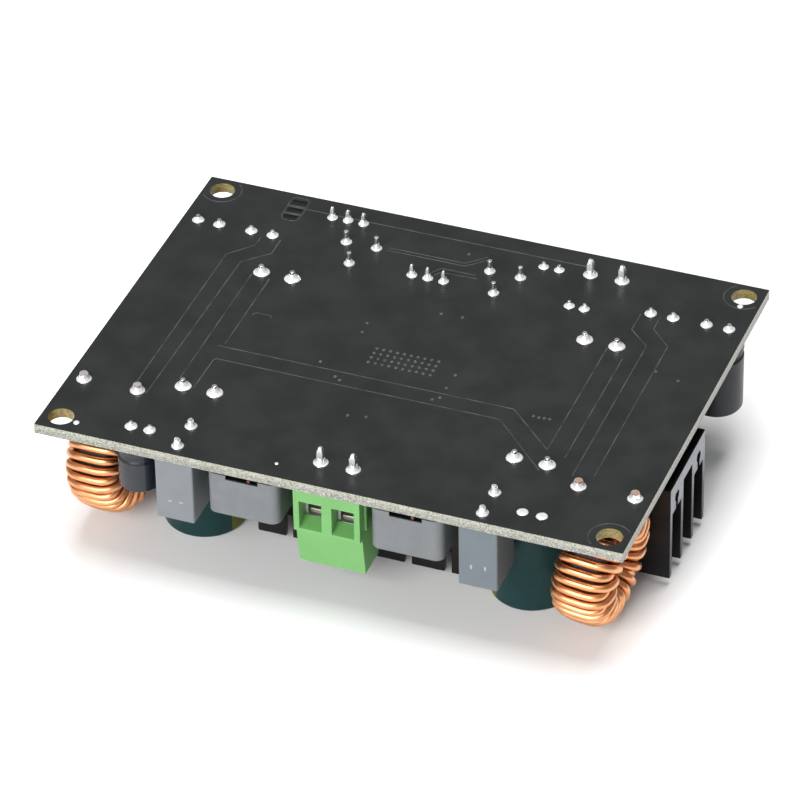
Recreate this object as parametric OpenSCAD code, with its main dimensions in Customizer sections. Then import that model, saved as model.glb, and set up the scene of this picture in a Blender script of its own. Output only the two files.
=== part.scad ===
// Audio amplifier board, standing on its capacitors with the solder side up.
// The origin is the centre of the mounting holes on the solder face, X to the right, Y to the back, Z up.
// Parts are drawn upright, as they stand on the component side, and then turned over into place.

/* [Board] */
// Width of the circuit board, left to right
board_w = 90; // [80:0.5:110]
// Depth of the circuit board, front to back
board_d = 67.4; // [60:0.2:90]
// Thickness of the circuit board
board_t = 1.6; // [1:0.1:2.4]
// Diameter of the four mounting holes
mount_hole_d = 3.85; // [3:0.05:4.5]
// Distance from each edge to the mounting hole centres
mount_hole_inset = 3; // [2.8:0.1:3.4]
// Play of a lead in its board hole, all round
lead_play = 0.12; // [0.05:0.01:0.3]

/* [Solder] */
// Width of the solder ring beyond the lead, all round
solder_ring = 0.62; // [0.4:0.02:0.9]
// Thickness of the solder at its outer rim
solder_rim = 0.12; // [0.05:0.01:0.3]
// Radial play between a lead and its solder ring
solder_play = 0.02; // [0.01:0.01:0.05]

/* [Heatsink] */
// How much shorter the heatsink is than the board
sink_short = 3.4; // [2:0.1:12]
// Height of the heatsink from its base to the fin ends
sink_h = 16.1; // [12:0.1:17]
// Thickness of the heatsink's base plate
sink_base_t = 2.2; // [1.5:0.1:3.5]
// Thickness of one fin
fin_t = 1; // [0.7:0.05:1.6]
// Distance between the short fins of the middle block
outer_fin_pitch = 4.7; // [3.5:0.05:4.8]
// Offset of the heatsink to the right of the board's middle
sink_x = 1.2; // [0:0.1:2]
// Radius of the fins' ends
fin_round = 0.25; // [0.1:0.05:0.3]
// Width of the saw slots across the short fins
slot_w = 1.1; // [0.6:0.1:2]
// Depth of the thick bosses around the screw channels
channel_boss_h = 2.7; // [2.2:0.1:4]

/* [Amplifier chip] */
// Length of the chip's moulded body
chip_l = 15.9; // [12:0.1:18]
// Width of the chip's moulded body
chip_w = 11; // [8:0.1:12]
// Height of the chip above the board
chip_h = 3.6; // [2.4:0.1:4.5]
// Thickness of the bonding pad between the chip and the heatsink
pad_t = 0.6; // [0.3:0.05:1.2]
// Number of leads along each side of the chip
chip_leads = 18; // [8:1:20]
// Distance between the chip's leads
chip_pitch = 0.8; // [0.65:0.01:0.85]

/* [Electrolytic capacitors] */
// Diameter of the four large reservoir capacitors
reservoir_d = 12.5; // [10:0.1:13]
// Height of the reservoir capacitors
reservoir_h = 21.6; // [21:0.1:30]
// Lead spacing of the reservoir capacitors
reservoir_pitch = 5; // [4:0.1:6]
// Diameter of the four supply capacitors
supply_d = 8; // [6.3:0.1:8.2]
// Height of the supply capacitors
supply_h = 12.35; // [9:0.05:18]
// Lead spacing of the supply capacitors
supply_pitch = 3.5; // [3:0.1:4]
// Diameter of the small filter capacitor at the front
filter_d = 6.3; // [5:0.1:6.5]
// Height of the small filter capacitor
filter_h = 8.1; // [6:0.1:12]
// Lead spacing of the small filter capacitor
filter_pitch = 2.9; // [2.5:0.1:3.2]
// Diameter of the small coupling capacitor at the back
coupling_d = 5; // [4:0.1:5.5]
// Height of the coupling capacitor
coupling_h = 7; // [5:0.1:11]
// Lead spacing of the coupling capacitor
coupling_pitch = 2.4; // [2:0.1:2.6]
// Thickness of the shrink sleeves
sleeve_t = 0.16; // [0.1:0.01:0.3]
// Play between a can and its sleeve
sleeve_play = 0.02; // [0.01:0.01:0.05]

/* [Toroid coils] */
// Outer diameter of the bare ring core
core_od = 16.5; // [15:0.1:16.8]
// Inner diameter of the bare ring core
core_id = 11.7; // [11.5:0.1:12]
// Width of the bare ring core along its axis
core_w = 5.4; // [5:0.1:6]
// Diameter of the winding wire
wire_d = 1.25; // [0.8:0.01:1.25]
// Number of turns
turns = 30; // [12:1:30]
// Angle that the winding covers
winding_span = 308; // [302:1:312]
// How much wider the turns stand at the ends than in the middle
turn_spread = 0.05; // [0:0.01:0.06]
// Gap between the coil and the board
coil_lift = 0.5; // [0.4:0.05:1]
// Lead spacing of a coil
coil_pitch = 8.5; // [8:0.1:9]
// How far the right coil leans
coil_lean = 7; // [0:0.5:7]
// How far the left coil is turned on the board
coil_yaw = -4.6; // [-6:0.1:6]

/* [Film capacitors] */
// Width of a film capacitor
film_w = 5.9; // [4:0.1:6.4]
// Depth of a film capacitor
film_d = 7.2; // [6.5:0.1:7.6]
// Height of a film capacitor
film_h = 11.1; // [8:0.1:14]
// Lead spacing of a film capacitor
film_pitch = 5; // [4:0.1:5.4]

/* [Shielded chokes] */
// Width of a choke that has room enough
choke_size = 11.05; // [9:0.05:12]
// Thickness of a choke's shield at its thinnest
choke_wall = 1.2; // [0.8:0.05:1.6]
// Height of a choke above the board
choke_h = 7.8; // [6:0.1:9]
// Corner radius of a choke's shield
choke_r = 1.4; // [1:0.1:3]
// Thickness of the base plate under a choke
choke_base_t = 0.8; // [0.5:0.05:1.2]
// Width of the notch in the shield's board side
choke_notch_w = 5; // [3:0.1:6]
// Height of the notch in the shield's board side
choke_notch_h = 0.7; // [0.4:0.05:1.2]

/* [Screw terminals] */
// Distance between a terminal's two poles
pole_pitch = 5; // [4.8:0.05:5.08]
// Width of a terminal's housing
term_w = 10.2; // [10:0.05:10.6]
// Height of a terminal's housing
term_h = 14.7; // [14.4:0.1:16]
// Reach of the housing in front of its pins
term_front = 4.6; // [4.4:0.05:5]
// Reach of the housing behind its pins
term_back = 3.7; // [3.6:0.05:4.2]
// Height of the ledge below the wire entries
ledge_h = 7.8; // [7.5:0.1:8.4]
// Width of a wire entry
entry_w = 3.45; // [2.6:0.05:3.6]
// Diameter of the clamp screws
screw_d = 2.5; // [2:0.05:2.5]
// Diameter of the clamp screws' heads
screw_head_d = 3.8; // [3.4:0.05:4]
// Play between the clamps, screws and housing
clamp_play = 0.15; // [0.1:0.01:0.2]
// Running play of the screws in their holes, all round
screw_play = 0.08; // [0.05:0.01:0.1]
// Free height for the wire when a clamp is open
clamp_gap = 2.6; // [2:0.1:2.8]

/* [Trimmers, headers and lamp] */
// Width of a trimmer's body
trim_w = 6.6; // [6:0.1:7.2]
// Height of a trimmer's body
trim_h = 2.4; // [2:0.1:3.5]
// Diameter of a trimmer's rotor
rotor_d = 4.6; // [3.6:0.1:5]
// Diameter of the pivot under a trimmer's rotor
pivot_d = 1.4; // [1:0.1:2]
// Spacing of a trimmer's two fixed pins
trim_pitch = 4.9; // [4:0.1:5.2]
// Distance from the fixed pins to the wiper pin
trim_reach = 5.1; // [4:0.1:5.6]
// Running play of the pivot, all round
pivot_play = 0.05; // [0.03:0.01:0.1]
// Spacing of the header pins
header_pitch = 2.54; // [2:0.01:2.6]
// Thickness of a header pin
header_pin = 0.64; // [0.4:0.02:0.7]
// Height of the header pins above the board
header_h = 8.5; // [6:0.1:11]
// Diameter of the indicator lamp's dome
lamp_d = 3; // [2:0.1:3.4]
// Height of the indicator lamp
lamp_h = 4.6; // [4:0.1:6]
// Lead spacing of the indicator lamp
lamp_pitch = 2.5; // [2:0.1:2.6]

/* [Layout] */
// Distance from the front edge to the front terminal's pins
front_term_in = 5.4; // [5:0.05:6]
// Distance from the back edge to the back terminal's pins
back_term_in = 5.15; // [5:0.05:6]
// Distance from the front edge to the chokes' shields
choke_in = 0.7; // [0.3:0.05:0.9]
// Gap between the front terminal and a choke
choke_gap = 1.95; // [1:0.05:2.2]
// Smallest gap on either side of a choke
choke_clear = 0.5; // [0.3:0.05:1]
// Gap between a choke and its film capacitor
film_gap = 2.3; // [1:0.05:2.4]
// Distance from the front edge to the middle of the film capacitors
film_in = 4.65; // [4:0.05:5]
// Gap between a coil and the filter capacitor's place
filter_side = 1; // [0.8:0.05:1.3]
// Gap between a film capacitor and the filter capacitor's place
filter_gap = 0.6; // [0.3:0.05:0.9]
// How far the front row of bodies stands to the right of its leads
front_shift = -0.4; // [-0.5:0.05:0.5]
// How far the front reservoir capacitors stand behind their leads
reservoir_shift = 0.6; // [0:0.05:0.7]
// Distance from the front edge to the filter capacitor
filter_in = 4.25; // [4:0.05:4.6]
// Distance from the front edge to the coils' leads
coil_in = 12.55; // [12:0.05:12.8]
// Gap between the heatsink's block and a reservoir capacitor
reservoir_gap_x = 0.85; // [0.4:0.05:1.1]
// Gap between the film capacitors and the front reservoir capacitors
reservoir_in = 1.3; // [0.8:0.05:2]
// Distance between the rows of the supply and the back reservoir capacitors
reservoir_row = 9.55; // [9.2:0.05:10.5]
// Gap between the heatsink and the front reservoir capacitors
sink_gap_front = 0.9; // [0.5:0.05:1.4]
// Smallest gap between the heatsink and a coil
coil_sink_gap = 0.1; // [0.1:0.05:0.5]
// Gap between the heatsink and the back reservoir capacitors
sink_gap_back = 1.25; // [0.5:0.05:1.4]
// Gap between a coil and the board's side edge
coil_side = 1.55; // [1:0.05:2]
// Gap between a reservoir capacitor and a coil
coil_gap = 1.2; // [1:0.05:1.5]
// Gap between the outer supply capacitors and the board's side edges
supply_side = 0.3; // [0.1:0.05:0.6]
// Gap between two supply capacitors
supply_gap = 0.7; // [0.3:0.05:1]
// Distance from the back edge to the supply capacitors
supply_in = 11.55; // [11:0.05:11.8]
// Gap between the back terminal and its supply capacitor
back_term_gap = 1.85; // [1:0.05:2.4]
// Distance from the right reservoir capacitors' middle to the coupling capacitor
coupling_off = 6.3; // [6:0.1:7]
// Distance from the left reservoir capacitors' middle to the left trimmer
trim_off = 9.1; // [8.6:0.1:10]
// Gap between the back terminal and the indicator lamp
lamp_gap = 1.55; // [0.8:0.05:2]
// Distance from the back edge to the coupling capacitor
coupling_in = 13.8; // [13.4:0.05:14]
// Distance from the back edge to the input header
input_in = 4.1; // [3:0.05:5]
// Distance of the input header from the middle, to the left
input_x = 20.85; // [19:0.05:24]
// Distance from the back edge to the jumper header
jumper_in = 14.2; // [13.8:0.05:14.6]
// Distance of the jumper header from the middle, to the left
jumper_x = 4.1; // [3.6:0.05:4.6]
// Distance from the back edge to the middle of the trimmers
trim_in = 12; // [11.6:0.05:12.2]
// Distance of the right trimmer from the middle, to the right
trim_right_x = 6.5; // [6.2:0.05:7]
// Distance from the back edge to the indicator lamp
lamp_in = 5.6; // [4:0.05:6]

/* [Hidden] */
$fn = 48;
eps = 0.01;
front_y = -board_d / 2;
back_y = board_d / 2;

// Leads: diameters, and how far each kind stands out of the solder side
reservoir_lead = 0.8;
supply_lead = 0.6;
small_lead = 0.5;
film_lead = 0.6;
trim_lead = 0.7;
term_pin = 1;
reservoir_stub = 1.3;
supply_stub = 0.9;
film_stub = 1.3;
header_stub = 2;
term_stub = 2.8;
coil_stub = 1.1;
tip_share = 0.8;
tip_scale = 0.5;

// Coil winding: the wire's own middle line around the ring core
wire_play = 0.15;
core_edge = 1.15;
layer_step = 1.12;
layer_rise = 1.05;
rise_from = 0.8;
rise_to = -0.55;
loop_fill = 2 / 3;
wire_off = wire_d / 2 + wire_play;
wind_out = core_od / 2 + wire_off;
wind_mid = (core_od + core_id) / 4;
wind_half = core_w / 2 + wire_off;
coil_half = wind_half + layer_rise + wire_d / 2;
coil_h = coil_lift + wind_out + wire_d / 2;
turn_steps = 12;
start_turn = -60;
end_steps = 4;
lead_turn = 20;
lead_out = 0.2;
wire_sides = 6;
// How each coil sits: its middle off the middle of its leads, its turn on the board, and its lean
COIL_LEFT = [0.1, -0.6, coil_yaw, 0.5];
COIL_RIGHT = [-0.7, 0.6, -2.4, coil_lean];

// Places of the parts from the board's middle: the rows across, from the side edges inwards
coil_x = board_w / 2 - coil_side - coil_half;
reservoir_x = coil_x - coil_half - coil_gap - reservoir_d / 2;
filter_x = coil_x - wind_half - wire_d / 2 - filter_side - filter_d / 2;
film_x = filter_x - filter_d / 2 - filter_gap - film_w / 2;
choke_room = film_x - film_w / 2 - term_w / 2;
choke_w = min(choke_size, choke_room - 2 * choke_clear);
choke_x = term_w / 2 + (choke_room - choke_w) * choke_gap / (choke_gap + film_gap) + choke_w / 2;
supply_outer = board_w / 2 - supply_side - supply_d / 2;
supply_inner = supply_outer - supply_d - supply_gap;
back_term_x = supply_inner - supply_d / 2 - back_term_gap - term_w / 2;
lamp_flange_d = lamp_d + 0.8;
lamp_x = back_term_x - term_w / 2 - lamp_gap - lamp_flange_d / 2;
coupling_x = reservoir_x - coupling_off;
trim_left_x = reservoir_x - trim_off;

// The rows front to back
front_term_y = front_y + front_term_in;
choke_y = front_y + choke_in + choke_w / 2;
film_y = front_y + film_in;
filter_y = front_y + filter_in;
coil_y = front_y + coil_in;
reservoir_front = film_y + film_d / 2 + reservoir_in + reservoir_d / 2;
supply_y = back_y - supply_in;
reservoir_back = supply_y - reservoir_row;
coupling_y = back_y - coupling_in;
back_term_y = back_y - back_term_in;
input_y = back_y - input_in;
jumper_y = back_y - jumper_in;
trim_y = back_y - trim_in;
lamp_y = back_y - lamp_in;

// Heatsink: it fills the room between the reservoir capacitors
sink_lift = chip_h + pad_t;
sink_l = board_w - sink_short;
long_fins = 4;
outer_fins = 2;
coil_back = coil_y - COIL_LEFT[1] + wind_out + wire_d / 2;
arm_front = max(reservoir_front + reservoir_d / 2 + sink_gap_front, coil_back + coil_sink_gap);
arm_back = reservoir_back - reservoir_d / 2 - sink_gap_back;
arm_w = arm_back - arm_front;
sink_y = (arm_front + arm_back) / 2;
fin_pitch = (arm_w - fin_t) / (long_fins - 1);
block_w = arm_w + 2 * outer_fins * outer_fin_pitch;
block_l = 2 * (reservoir_x - reservoir_d / 2 - reservoir_gap_x - sink_x);
slots = 5;
slot_pitch = block_l / (slots + 0.6);
slot_depth = sink_h - sink_base_t;
slot_margin = 0.3;
channel_d = (fin_pitch - fin_t) * 0.43;
channel_sink = 0.2;

// Screw terminal: chamber, clamp, contact strip and screw, heights above the board
clamp_wall = 0.5;
pole_wall = 1;
clamp_w = pole_pitch - pole_wall - 2 * clamp_play;
clamp_floor = 0.7;
clamp_bridge = 1.3;
clamp_low = 2.2;
strip_t = 0.8;
strip_low = clamp_low + clamp_floor + clamp_gap;
strip_w = clamp_w - 2 * clamp_wall - 3 * clamp_play;
strip_top = strip_low + strip_t;
bridge_low = strip_top + 2 * clamp_play;
clamp_rest = 0.4;
clamp_travel = clamp_gap - clamp_rest;
clamp_top = bridge_low + clamp_bridge;
chamber_low = 1.2;
chamber_top = clamp_top + clamp_travel + 2 * clamp_play;
front_wall = 2.3;
back_wall = 0.5;
chamber_front = term_front - front_wall;
chamber_back = back_wall - term_back;
clamp_front = chamber_front - 2 * clamp_play;
clamp_back = -1.9;
strip_back = chamber_back + clamp_play;
shoulder_t = 0.6;
head_low = chamber_top + shoulder_t;
head_t = 1.7;
entry_low = 2.55;
entry_face_top = ledge_h - 0.45;
entry_inner_top = strip_top + 0.1;
ledge_step = 0.9;
term_nose = 1;
rib_t = 0.35;
rib_w = 0.7;
rib_y = term_front - 2.5;

// Choke: the drum core inside the shield
choke_bore = choke_w - 2 * choke_wall;
drum_play = 0.15;
drum_sink = 0.2;
drum_top = choke_h - drum_sink;
flange_t = 1.1;
flange_d = choke_bore - 2 * drum_play;
post_d = choke_bore * 0.45;
wire_end_d = 0.5;
wire_end_x = choke_notch_w * 0.2;
choke_base_w = choke_w - 1.6;

// Trimmer
trim_d = trim_w + 0.4;
rotor_t = 1.1;
rotor_sink = 0.7;
rotor_play = 0.1;
rotor_slot_w = 0.8;
rotor_slot_depth = 0.6;
rotor_low = trim_h - rotor_sink + rotor_play;
pivot_low = 0.4;
trim_ring = 0.5;
trim_seat = 0.5;

// Every soldered lead: place, lead width, and height above the solder side
function across(x, y, pitch, d, stub) = [for (s = [-1, 1]) [x + s * pitch / 2, y, d, stub]];
function along(x, y, pitch, d, stub) = [for (s = [-1, 1]) [x, y + s * pitch / 2, d, stub]];
function row3(x, y) = [for (s = [-1, 0, 1]) [x + s * header_pitch, y, header_pin * sqrt(2), header_stub]];
function trio(x, y) = concat(
    across(x, y + trim_reach / 2, trim_pitch, trim_lead, header_stub),
    [[x, y - trim_reach / 2, trim_lead, header_stub]]
);
// The reservoir capacitors: the middle of their leads, and how far the body stands behind it
RESERVOIR_ROWS = [[reservoir_front, reservoir_shift], [reservoir_back, 0]];
RESERVOIRS = [for (x = [-reservoir_x, reservoir_x], row = RESERVOIR_ROWS) [x, each row]];
SUPPLIES = [for (x = [-supply_outer, -supply_inner, supply_inner, supply_outer]) [x, supply_y]];
LEADS = concat(
    [for (p = RESERVOIRS) each across(p[0], p[1], reservoir_pitch, reservoir_lead, reservoir_stub)],
    [for (p = SUPPLIES) each across(p[0], p[1], supply_pitch, supply_lead, supply_stub)],
    across(-filter_x, filter_y, filter_pitch, small_lead, supply_stub),
    across(coupling_x, coupling_y, coupling_pitch, small_lead, supply_stub),
    [for (x = [-film_x, film_x]) each along(x, film_y, film_pitch, film_lead, film_stub)],
    [for (x = [-coil_x, coil_x]) each across(x, coil_y, coil_pitch, wire_d, coil_stub)],
    across(0, front_term_y, pole_pitch, term_pin * sqrt(2), term_stub),
    across(back_term_x, back_term_y, pole_pitch, term_pin * sqrt(2), term_stub),
    row3(-input_x, input_y),
    row3(-jumper_x, jumper_y),
    trio(-trim_left_x, trim_y),
    trio(trim_right_x, trim_y),
    across(lamp_x, lamp_y, lamp_pitch, small_lead, supply_stub)
);
// The pair of pads at the front right that carries no part
EMPTY_PADS = across(filter_x, filter_y, filter_pitch, small_lead, 0);
MOUNT_HOLES = [for (x = [-1, 1], y = [-1, 1])
    [x * (board_w / 2 - mount_hole_inset), y * (board_d / 2 - mount_hole_inset)]];

// Turns an upright part over onto the component side at a place on the board
module mounted(x, y) {
    translate([x, y, -board_t]) rotate([180, 0, 0]) children();
}

// A round lead from a height above the component side to its cut end beyond the solder side
module lead(x, y, d, stub, top = 1) {
    translate([x, y, -board_t - stub]) cylinder(d = d, h = board_t + stub + top);
}

// A square pin over the same stretch, with a tapered tip beyond the solder side
module square_pin(x, y, w, stub, top) {
    tip = w * tip_share;
    translate([x, y, -board_t - stub + tip]) {
        translate([-w / 2, -w / 2, 0]) cube([w, w, board_t + stub - tip + top]);
        mirror([0, 0, 1]) linear_extrude(tip, scale = tip_scale) square(w, center = true);
    }
}

module rounded_square(w, d, r) {
    square([w - 2 * r, d], center = true);
    square([w, d - 2 * r], center = true);
    for (x = [-1, 1], y = [-1, 1])
        translate([x * (w / 2 - r), y * (d / 2 - r)]) circle(r);
}

// Circuit board and its solder
module circuit_board() {
    color([0.13, 0.14, 0.14]) difference() {
        translate([-board_w / 2, -board_d / 2, -board_t]) cube([board_w, board_d, board_t]);
        for (p = MOUNT_HOLES)
            translate([p[0], p[1], -board_t - 1]) cylinder(d = mount_hole_d, h = board_t + 2);
        for (l = concat(LEADS, EMPTY_PADS))
            translate([l[0], l[1], -board_t - 1]) cylinder(d = l[2] + 2 * lead_play, h = board_t + 2);
    }
}

// A concave ring of solder that climbs a lead
module solder_ring_at(l) {
    inner = l[2] / 2 + solder_play;
    fillet = solder_ring * 0.8;
    translate([l[0], l[1], 0]) rotate_extrude() difference() {
        translate([inner, 0]) square([solder_ring, fillet + solder_rim]);
        translate([inner + solder_ring, fillet + solder_rim]) circle(fillet);
    }
}

// A solder plug with a dimple, in a hole that carries no lead
module solder_plug_at(l) {
    pad_r = l[2] / 2 + solder_ring;
    dome = solder_rim * 3;
    translate([l[0], l[1], 0]) {
        difference() {
            cylinder(r = pad_r, h = dome);
            translate([0, 0, dome + pad_r * 0.8]) sphere(r = pad_r);
        }
        translate([0, 0, -board_t]) cylinder(d = l[2] + 2 * (lead_play - solder_play), h = board_t + eps);
    }
}

module solder_joints() {
    color([0.84, 0.85, 0.86]) {
        for (l = LEADS) solder_ring_at(l);
        for (l = EMPTY_PADS) solder_plug_at(l);
    }
}

// Heatsink: one extrusion along X, with its corners cut away for the reservoir capacitors
module fin_profile(y) {
    translate([y - fin_t / 2, 0]) square([fin_t, sink_h - fin_round]);
    translate([y - fin_t / 2 + fin_round, 0]) square([fin_t - 2 * fin_round, sink_h]);
    for (s = [-1, 1]) translate([y + s * (fin_t / 2 - fin_round), sink_h - fin_round]) circle(fin_round);
}

module sink_profile(wide) {
    span = wide ? block_w : arm_w;
    translate([-span / 2, 0]) square([span, sink_base_t]);
    for (i = [0 : long_fins - 1]) fin_profile((i - (long_fins - 1) / 2) * fin_pitch);
    for (s = [-1, 1]) {
        difference() {
            translate([s * fin_pitch - fin_pitch / 2, 0]) square([fin_pitch, sink_base_t + channel_boss_h]);
            translate([s * fin_pitch, sink_base_t + channel_d / 2 - channel_sink]) circle(d = channel_d);
            translate([s * fin_pitch - channel_d / 4, sink_base_t + channel_d / 2])
                square([channel_d / 2, channel_boss_h]);
        }
        if (wide)
            for (i = [1 : outer_fins])
                fin_profile(s * ((long_fins - 1) / 2 * fin_pitch + i * outer_fin_pitch));
    }
}

module sink_length(l, wide) {
    translate([-l / 2, 0, 0]) rotate([90, 0, 90]) linear_extrude(l) sink_profile(wide);
}

module saw_slots() {
    reach = outer_fins * outer_fin_pitch;
    for (i = [0 : slots - 1], s = [-1, 1])
        translate([(i - (slots - 1) / 2) * slot_pitch - slot_w / 2,
                s * (arm_w / 2 + slot_margin + reach / 2) - reach / 2, sink_base_t])
            cube([slot_w, reach, slot_depth + 1]);
}

module heatsink() {
    color([0.1, 0.1, 0.11]) mounted(sink_x, sink_y) translate([0, 0, sink_lift]) difference() {
        union() {
            sink_length(sink_l, false);
            sink_length(block_l, true);
        }
        saw_slots();
    }
}

module bonding_pad() {
    color([0.75, 0.77, 0.8]) mounted(sink_x, sink_y) translate([0, 0, chip_h])
        linear_extrude(pad_t) rounded_square(chip_l - 1, chip_w - 1, 0.5);
}

// Power chip with gull-wing leads along both long sides
module gull_lead(x) {
    lead_t = 0.25;
    lead_w = 0.4;
    foot = 1.1;
    shoulder = chip_h / 2;
    reach = chip_w / 2;
    translate([x - lead_w / 2, 0, 0]) rotate([90, 0, 90]) linear_extrude(lead_w) polygon([
        [reach - 0.3, shoulder], [reach + 0.5, shoulder], [reach + 0.9, lead_t], [reach + 0.9 + foot, lead_t],
        [reach + 0.9 + foot, 0], [reach + 0.7, 0], [reach + 0.3, shoulder - lead_t],
        [reach - 0.3, shoulder - lead_t]]);
}

module amplifier_chip() {
    stand_off = 0.1;
    color([0.08, 0.08, 0.08]) mounted(sink_x, sink_y) {
        difference() {
            translate([-chip_l / 2, -chip_w / 2, stand_off]) cube([chip_l, chip_w, chip_h - stand_off]);
            translate([-chip_l / 2 + 1.2, -chip_w / 2 + 1.2, stand_off - 0.1]) cylinder(d = 1, h = 0.3);
        }
        for (i = [0 : chip_leads - 1], turn = [0, 180])
            rotate([0, 0, turn]) gull_lead((i - (chip_leads - 1) / 2) * chip_pitch);
    }
}

// Ceramic chip capacitors in a row on each side of the power chip
module chip_capacitor(x, y) {
    length = 2;
    width = 1.25;
    height = 0.9;
    end = 0.4;
    skin = 0.04;
    translate([x, y, height / 2]) {
        cube([length, width - 2 * skin, height - 2 * skin], center = true);
        for (s = [-1, 1]) translate([s * (length - end) / 2, 0, 0]) cube([end, width, height], center = true);
    }
}

module chip_capacitors() {
    count = 4;
    spacing = 3.6;
    chip_gap = 3.2;
    from_chip = chip_w / 2 + chip_gap;
    color([0.62, 0.5, 0.38]) mounted(sink_x, sink_y)
        for (i = [0 : count - 1], s = [-1, 1])
            chip_capacitor((i - (count - 1) / 2) * spacing, s * from_chip);
}

// Electrolytic capacitors: a can with a rolled groove, inside a printed shrink sleeve
module can_outline(r, low, high, corner) {
    groove_r = 0.7;
    groove_h = 2.4;
    groove_depth = 0.35;
    difference() {
        union() {
            translate([0, low]) square([r, high - low - corner]);
            translate([0, low]) square([r - corner, high - low]);
            translate([r - corner, high - corner]) intersection() {
                circle(corner);
                square(corner);
            }
        }
        translate([r + groove_r - groove_depth, groove_h]) circle(groove_r);
    }
}

module electrolytic_can(d, h, pitch, lead_d, stub, shift = [0, 0]) {
    wall = sleeve_t + sleeve_play;
    vent_w = 0.35;
    vent_depth = 0.25;
    difference() {
        rotate_extrude() can_outline(d / 2 - wall, sleeve_t, h - wall, 0.5);
        for (turn = [0, 90]) rotate([0, 0, turn])
            translate([-d / 4, -vent_w / 2, h - wall - vent_depth]) cube([d / 2, vent_w, 1]);
    }
    for (s = [-1, 1]) lead(s * pitch / 2 - shift[0], shift[1], lead_d, stub);
}

module electrolytic_sleeve(d, h) {
    lip = d / 10;
    rotate_extrude() difference() {
        can_outline(d / 2, 0, h, 0.6);
        can_outline(d / 2 - sleeve_t, sleeve_t - sleeve_play, h - sleeve_t, 0.5);
        translate([0, h - 1]) square([d / 2 - lip, 2]);
        translate([0, -1]) square([d / 2 - lip, 2]);
    }
}

module reservoir_can(i) {
    shift = [0, RESERVOIRS[i][2]];
    color([0.78, 0.79, 0.8]) mounted(RESERVOIRS[i][0], RESERVOIRS[i][1] + shift[1])
        electrolytic_can(reservoir_d, reservoir_h, reservoir_pitch, reservoir_lead, reservoir_stub, shift);
}

module reservoir_sleeve(i) {
    color([0.05, 0.24, 0.24]) mounted(RESERVOIRS[i][0], RESERVOIRS[i][1] + RESERVOIRS[i][2])
        electrolytic_sleeve(reservoir_d, reservoir_h);
}

module supply_can(i) {
    color([0.78, 0.79, 0.8]) mounted(SUPPLIES[i][0], SUPPLIES[i][1])
        electrolytic_can(supply_d, supply_h, supply_pitch, supply_lead, supply_stub);
}

module supply_sleeve(i) {
    color([0.2, 0.21, 0.23]) mounted(SUPPLIES[i][0], SUPPLIES[i][1]) electrolytic_sleeve(supply_d, supply_h);
}

module filter_can() {
    color([0.78, 0.79, 0.8]) mounted(-filter_x + front_shift, filter_y)
        electrolytic_can(filter_d, filter_h, filter_pitch, small_lead, supply_stub, [front_shift, 0]);
}

module filter_sleeve() {
    color([0.25, 0.26, 0.28]) mounted(-filter_x + front_shift, filter_y)
        electrolytic_sleeve(filter_d, filter_h);
}

module coupling_can() {
    color([0.78, 0.79, 0.8]) mounted(coupling_x, coupling_y)
        electrolytic_can(coupling_d, coupling_h, coupling_pitch, small_lead, supply_stub);
}

module coupling_sleeve() {
    color([0.2, 0.21, 0.23]) mounted(coupling_x, coupling_y) electrolytic_sleeve(coupling_d, coupling_h);
}

// Toroid coils: a ring core on edge, and one wire wound round it that ends in two leads
function turn_angle(t) = winding_span * (t - 0.5 + turn_spread / (2 * PI) * sin(360 * t));

// A number raised so that a circle becomes a rounded square
function squared(v) = sign(v) * pow(abs(v), loop_fill);

// Middle of the wire in the ring's section, as radius and side offset, at an angle round it.
// Every second turn lies over its neighbours on the inside, and rises towards it on the flat sides.
function section_point(over, turn) =
    let (out = cos(turn), rise = min(1, max(0, (rise_from - out) / (rise_from - rise_to))))
    let (reach = out > 0 ? wind_out - wind_mid : wind_mid - core_id / 2 + wire_off + over * layer_step)
    [wind_mid + reach * squared(out), (wind_half + over * rise * layer_rise) * squared(sin(turn))];

// A point of the ring, by its angle, radius and side offset, on a coil that sits with a turn and a lean
function ring_point(angle, radius, side, seat) =
    let (forward = radius * sin(angle), up = radius * cos(angle))
    let (x = side * cos(seat[3]) - up * sin(seat[3]), h = side * sin(seat[3]) + up * cos(seat[3]))
    [seat[0] + x * cos(seat[2]) + forward * sin(seat[2]),
     seat[1] - x * sin(seat[2]) + forward * cos(seat[2]), coil_h + h];

// The winding's middle line, with the last crossing to the far lead
function winding_path(seat) = [for (k = [0 : turns * turn_steps + end_steps])
    let (p = section_point(floor(k / turn_steps) % 2, 360 * k / turn_steps + start_turn))
    ring_point(turn_angle(k / (turns * turn_steps)), p[0], p[1], seat)];

// One end of the wire: up from its cut end beyond the solder side to the winding
function lead_path(side, seat) = [
    [side * coil_pitch / 2, 0, -board_t - coil_stub],
    [side * coil_pitch / 2, 0, coil_lift],
    ring_point(side * (winding_span / 2 + lead_turn), wind_out, side * (wind_half + lead_out), seat)];

function reversed(list) = [for (i = [len(list) - 1 : -1 : 0]) list[i]];
function unit(v) = v / norm(v);
function tangent(path, k) = unit(path[min(k + 1, len(path) - 1)] - path[max(k - 1, 0)]);

// Sideways directions along a path, each carried over from the one before without twist
function carried(path) = [
    for (k = 0, n = unit(cross(tangent(path, 0), [1, 0, 0]));
        k < len(path);
        k = k + 1, t = tangent(path, min(k, len(path) - 1)), n = unit(n - (n * t) * t)) n];

// Corners of the wire's section at one point of its path
function wire_section(centre, t, a) =
    let (b = cross(t, a))
    [for (j = [0 : wire_sides - 1])
        centre + wire_d / 2 * (cos(360 * j / wire_sides) * a + sin(360 * j / wire_sides) * b)];

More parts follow.
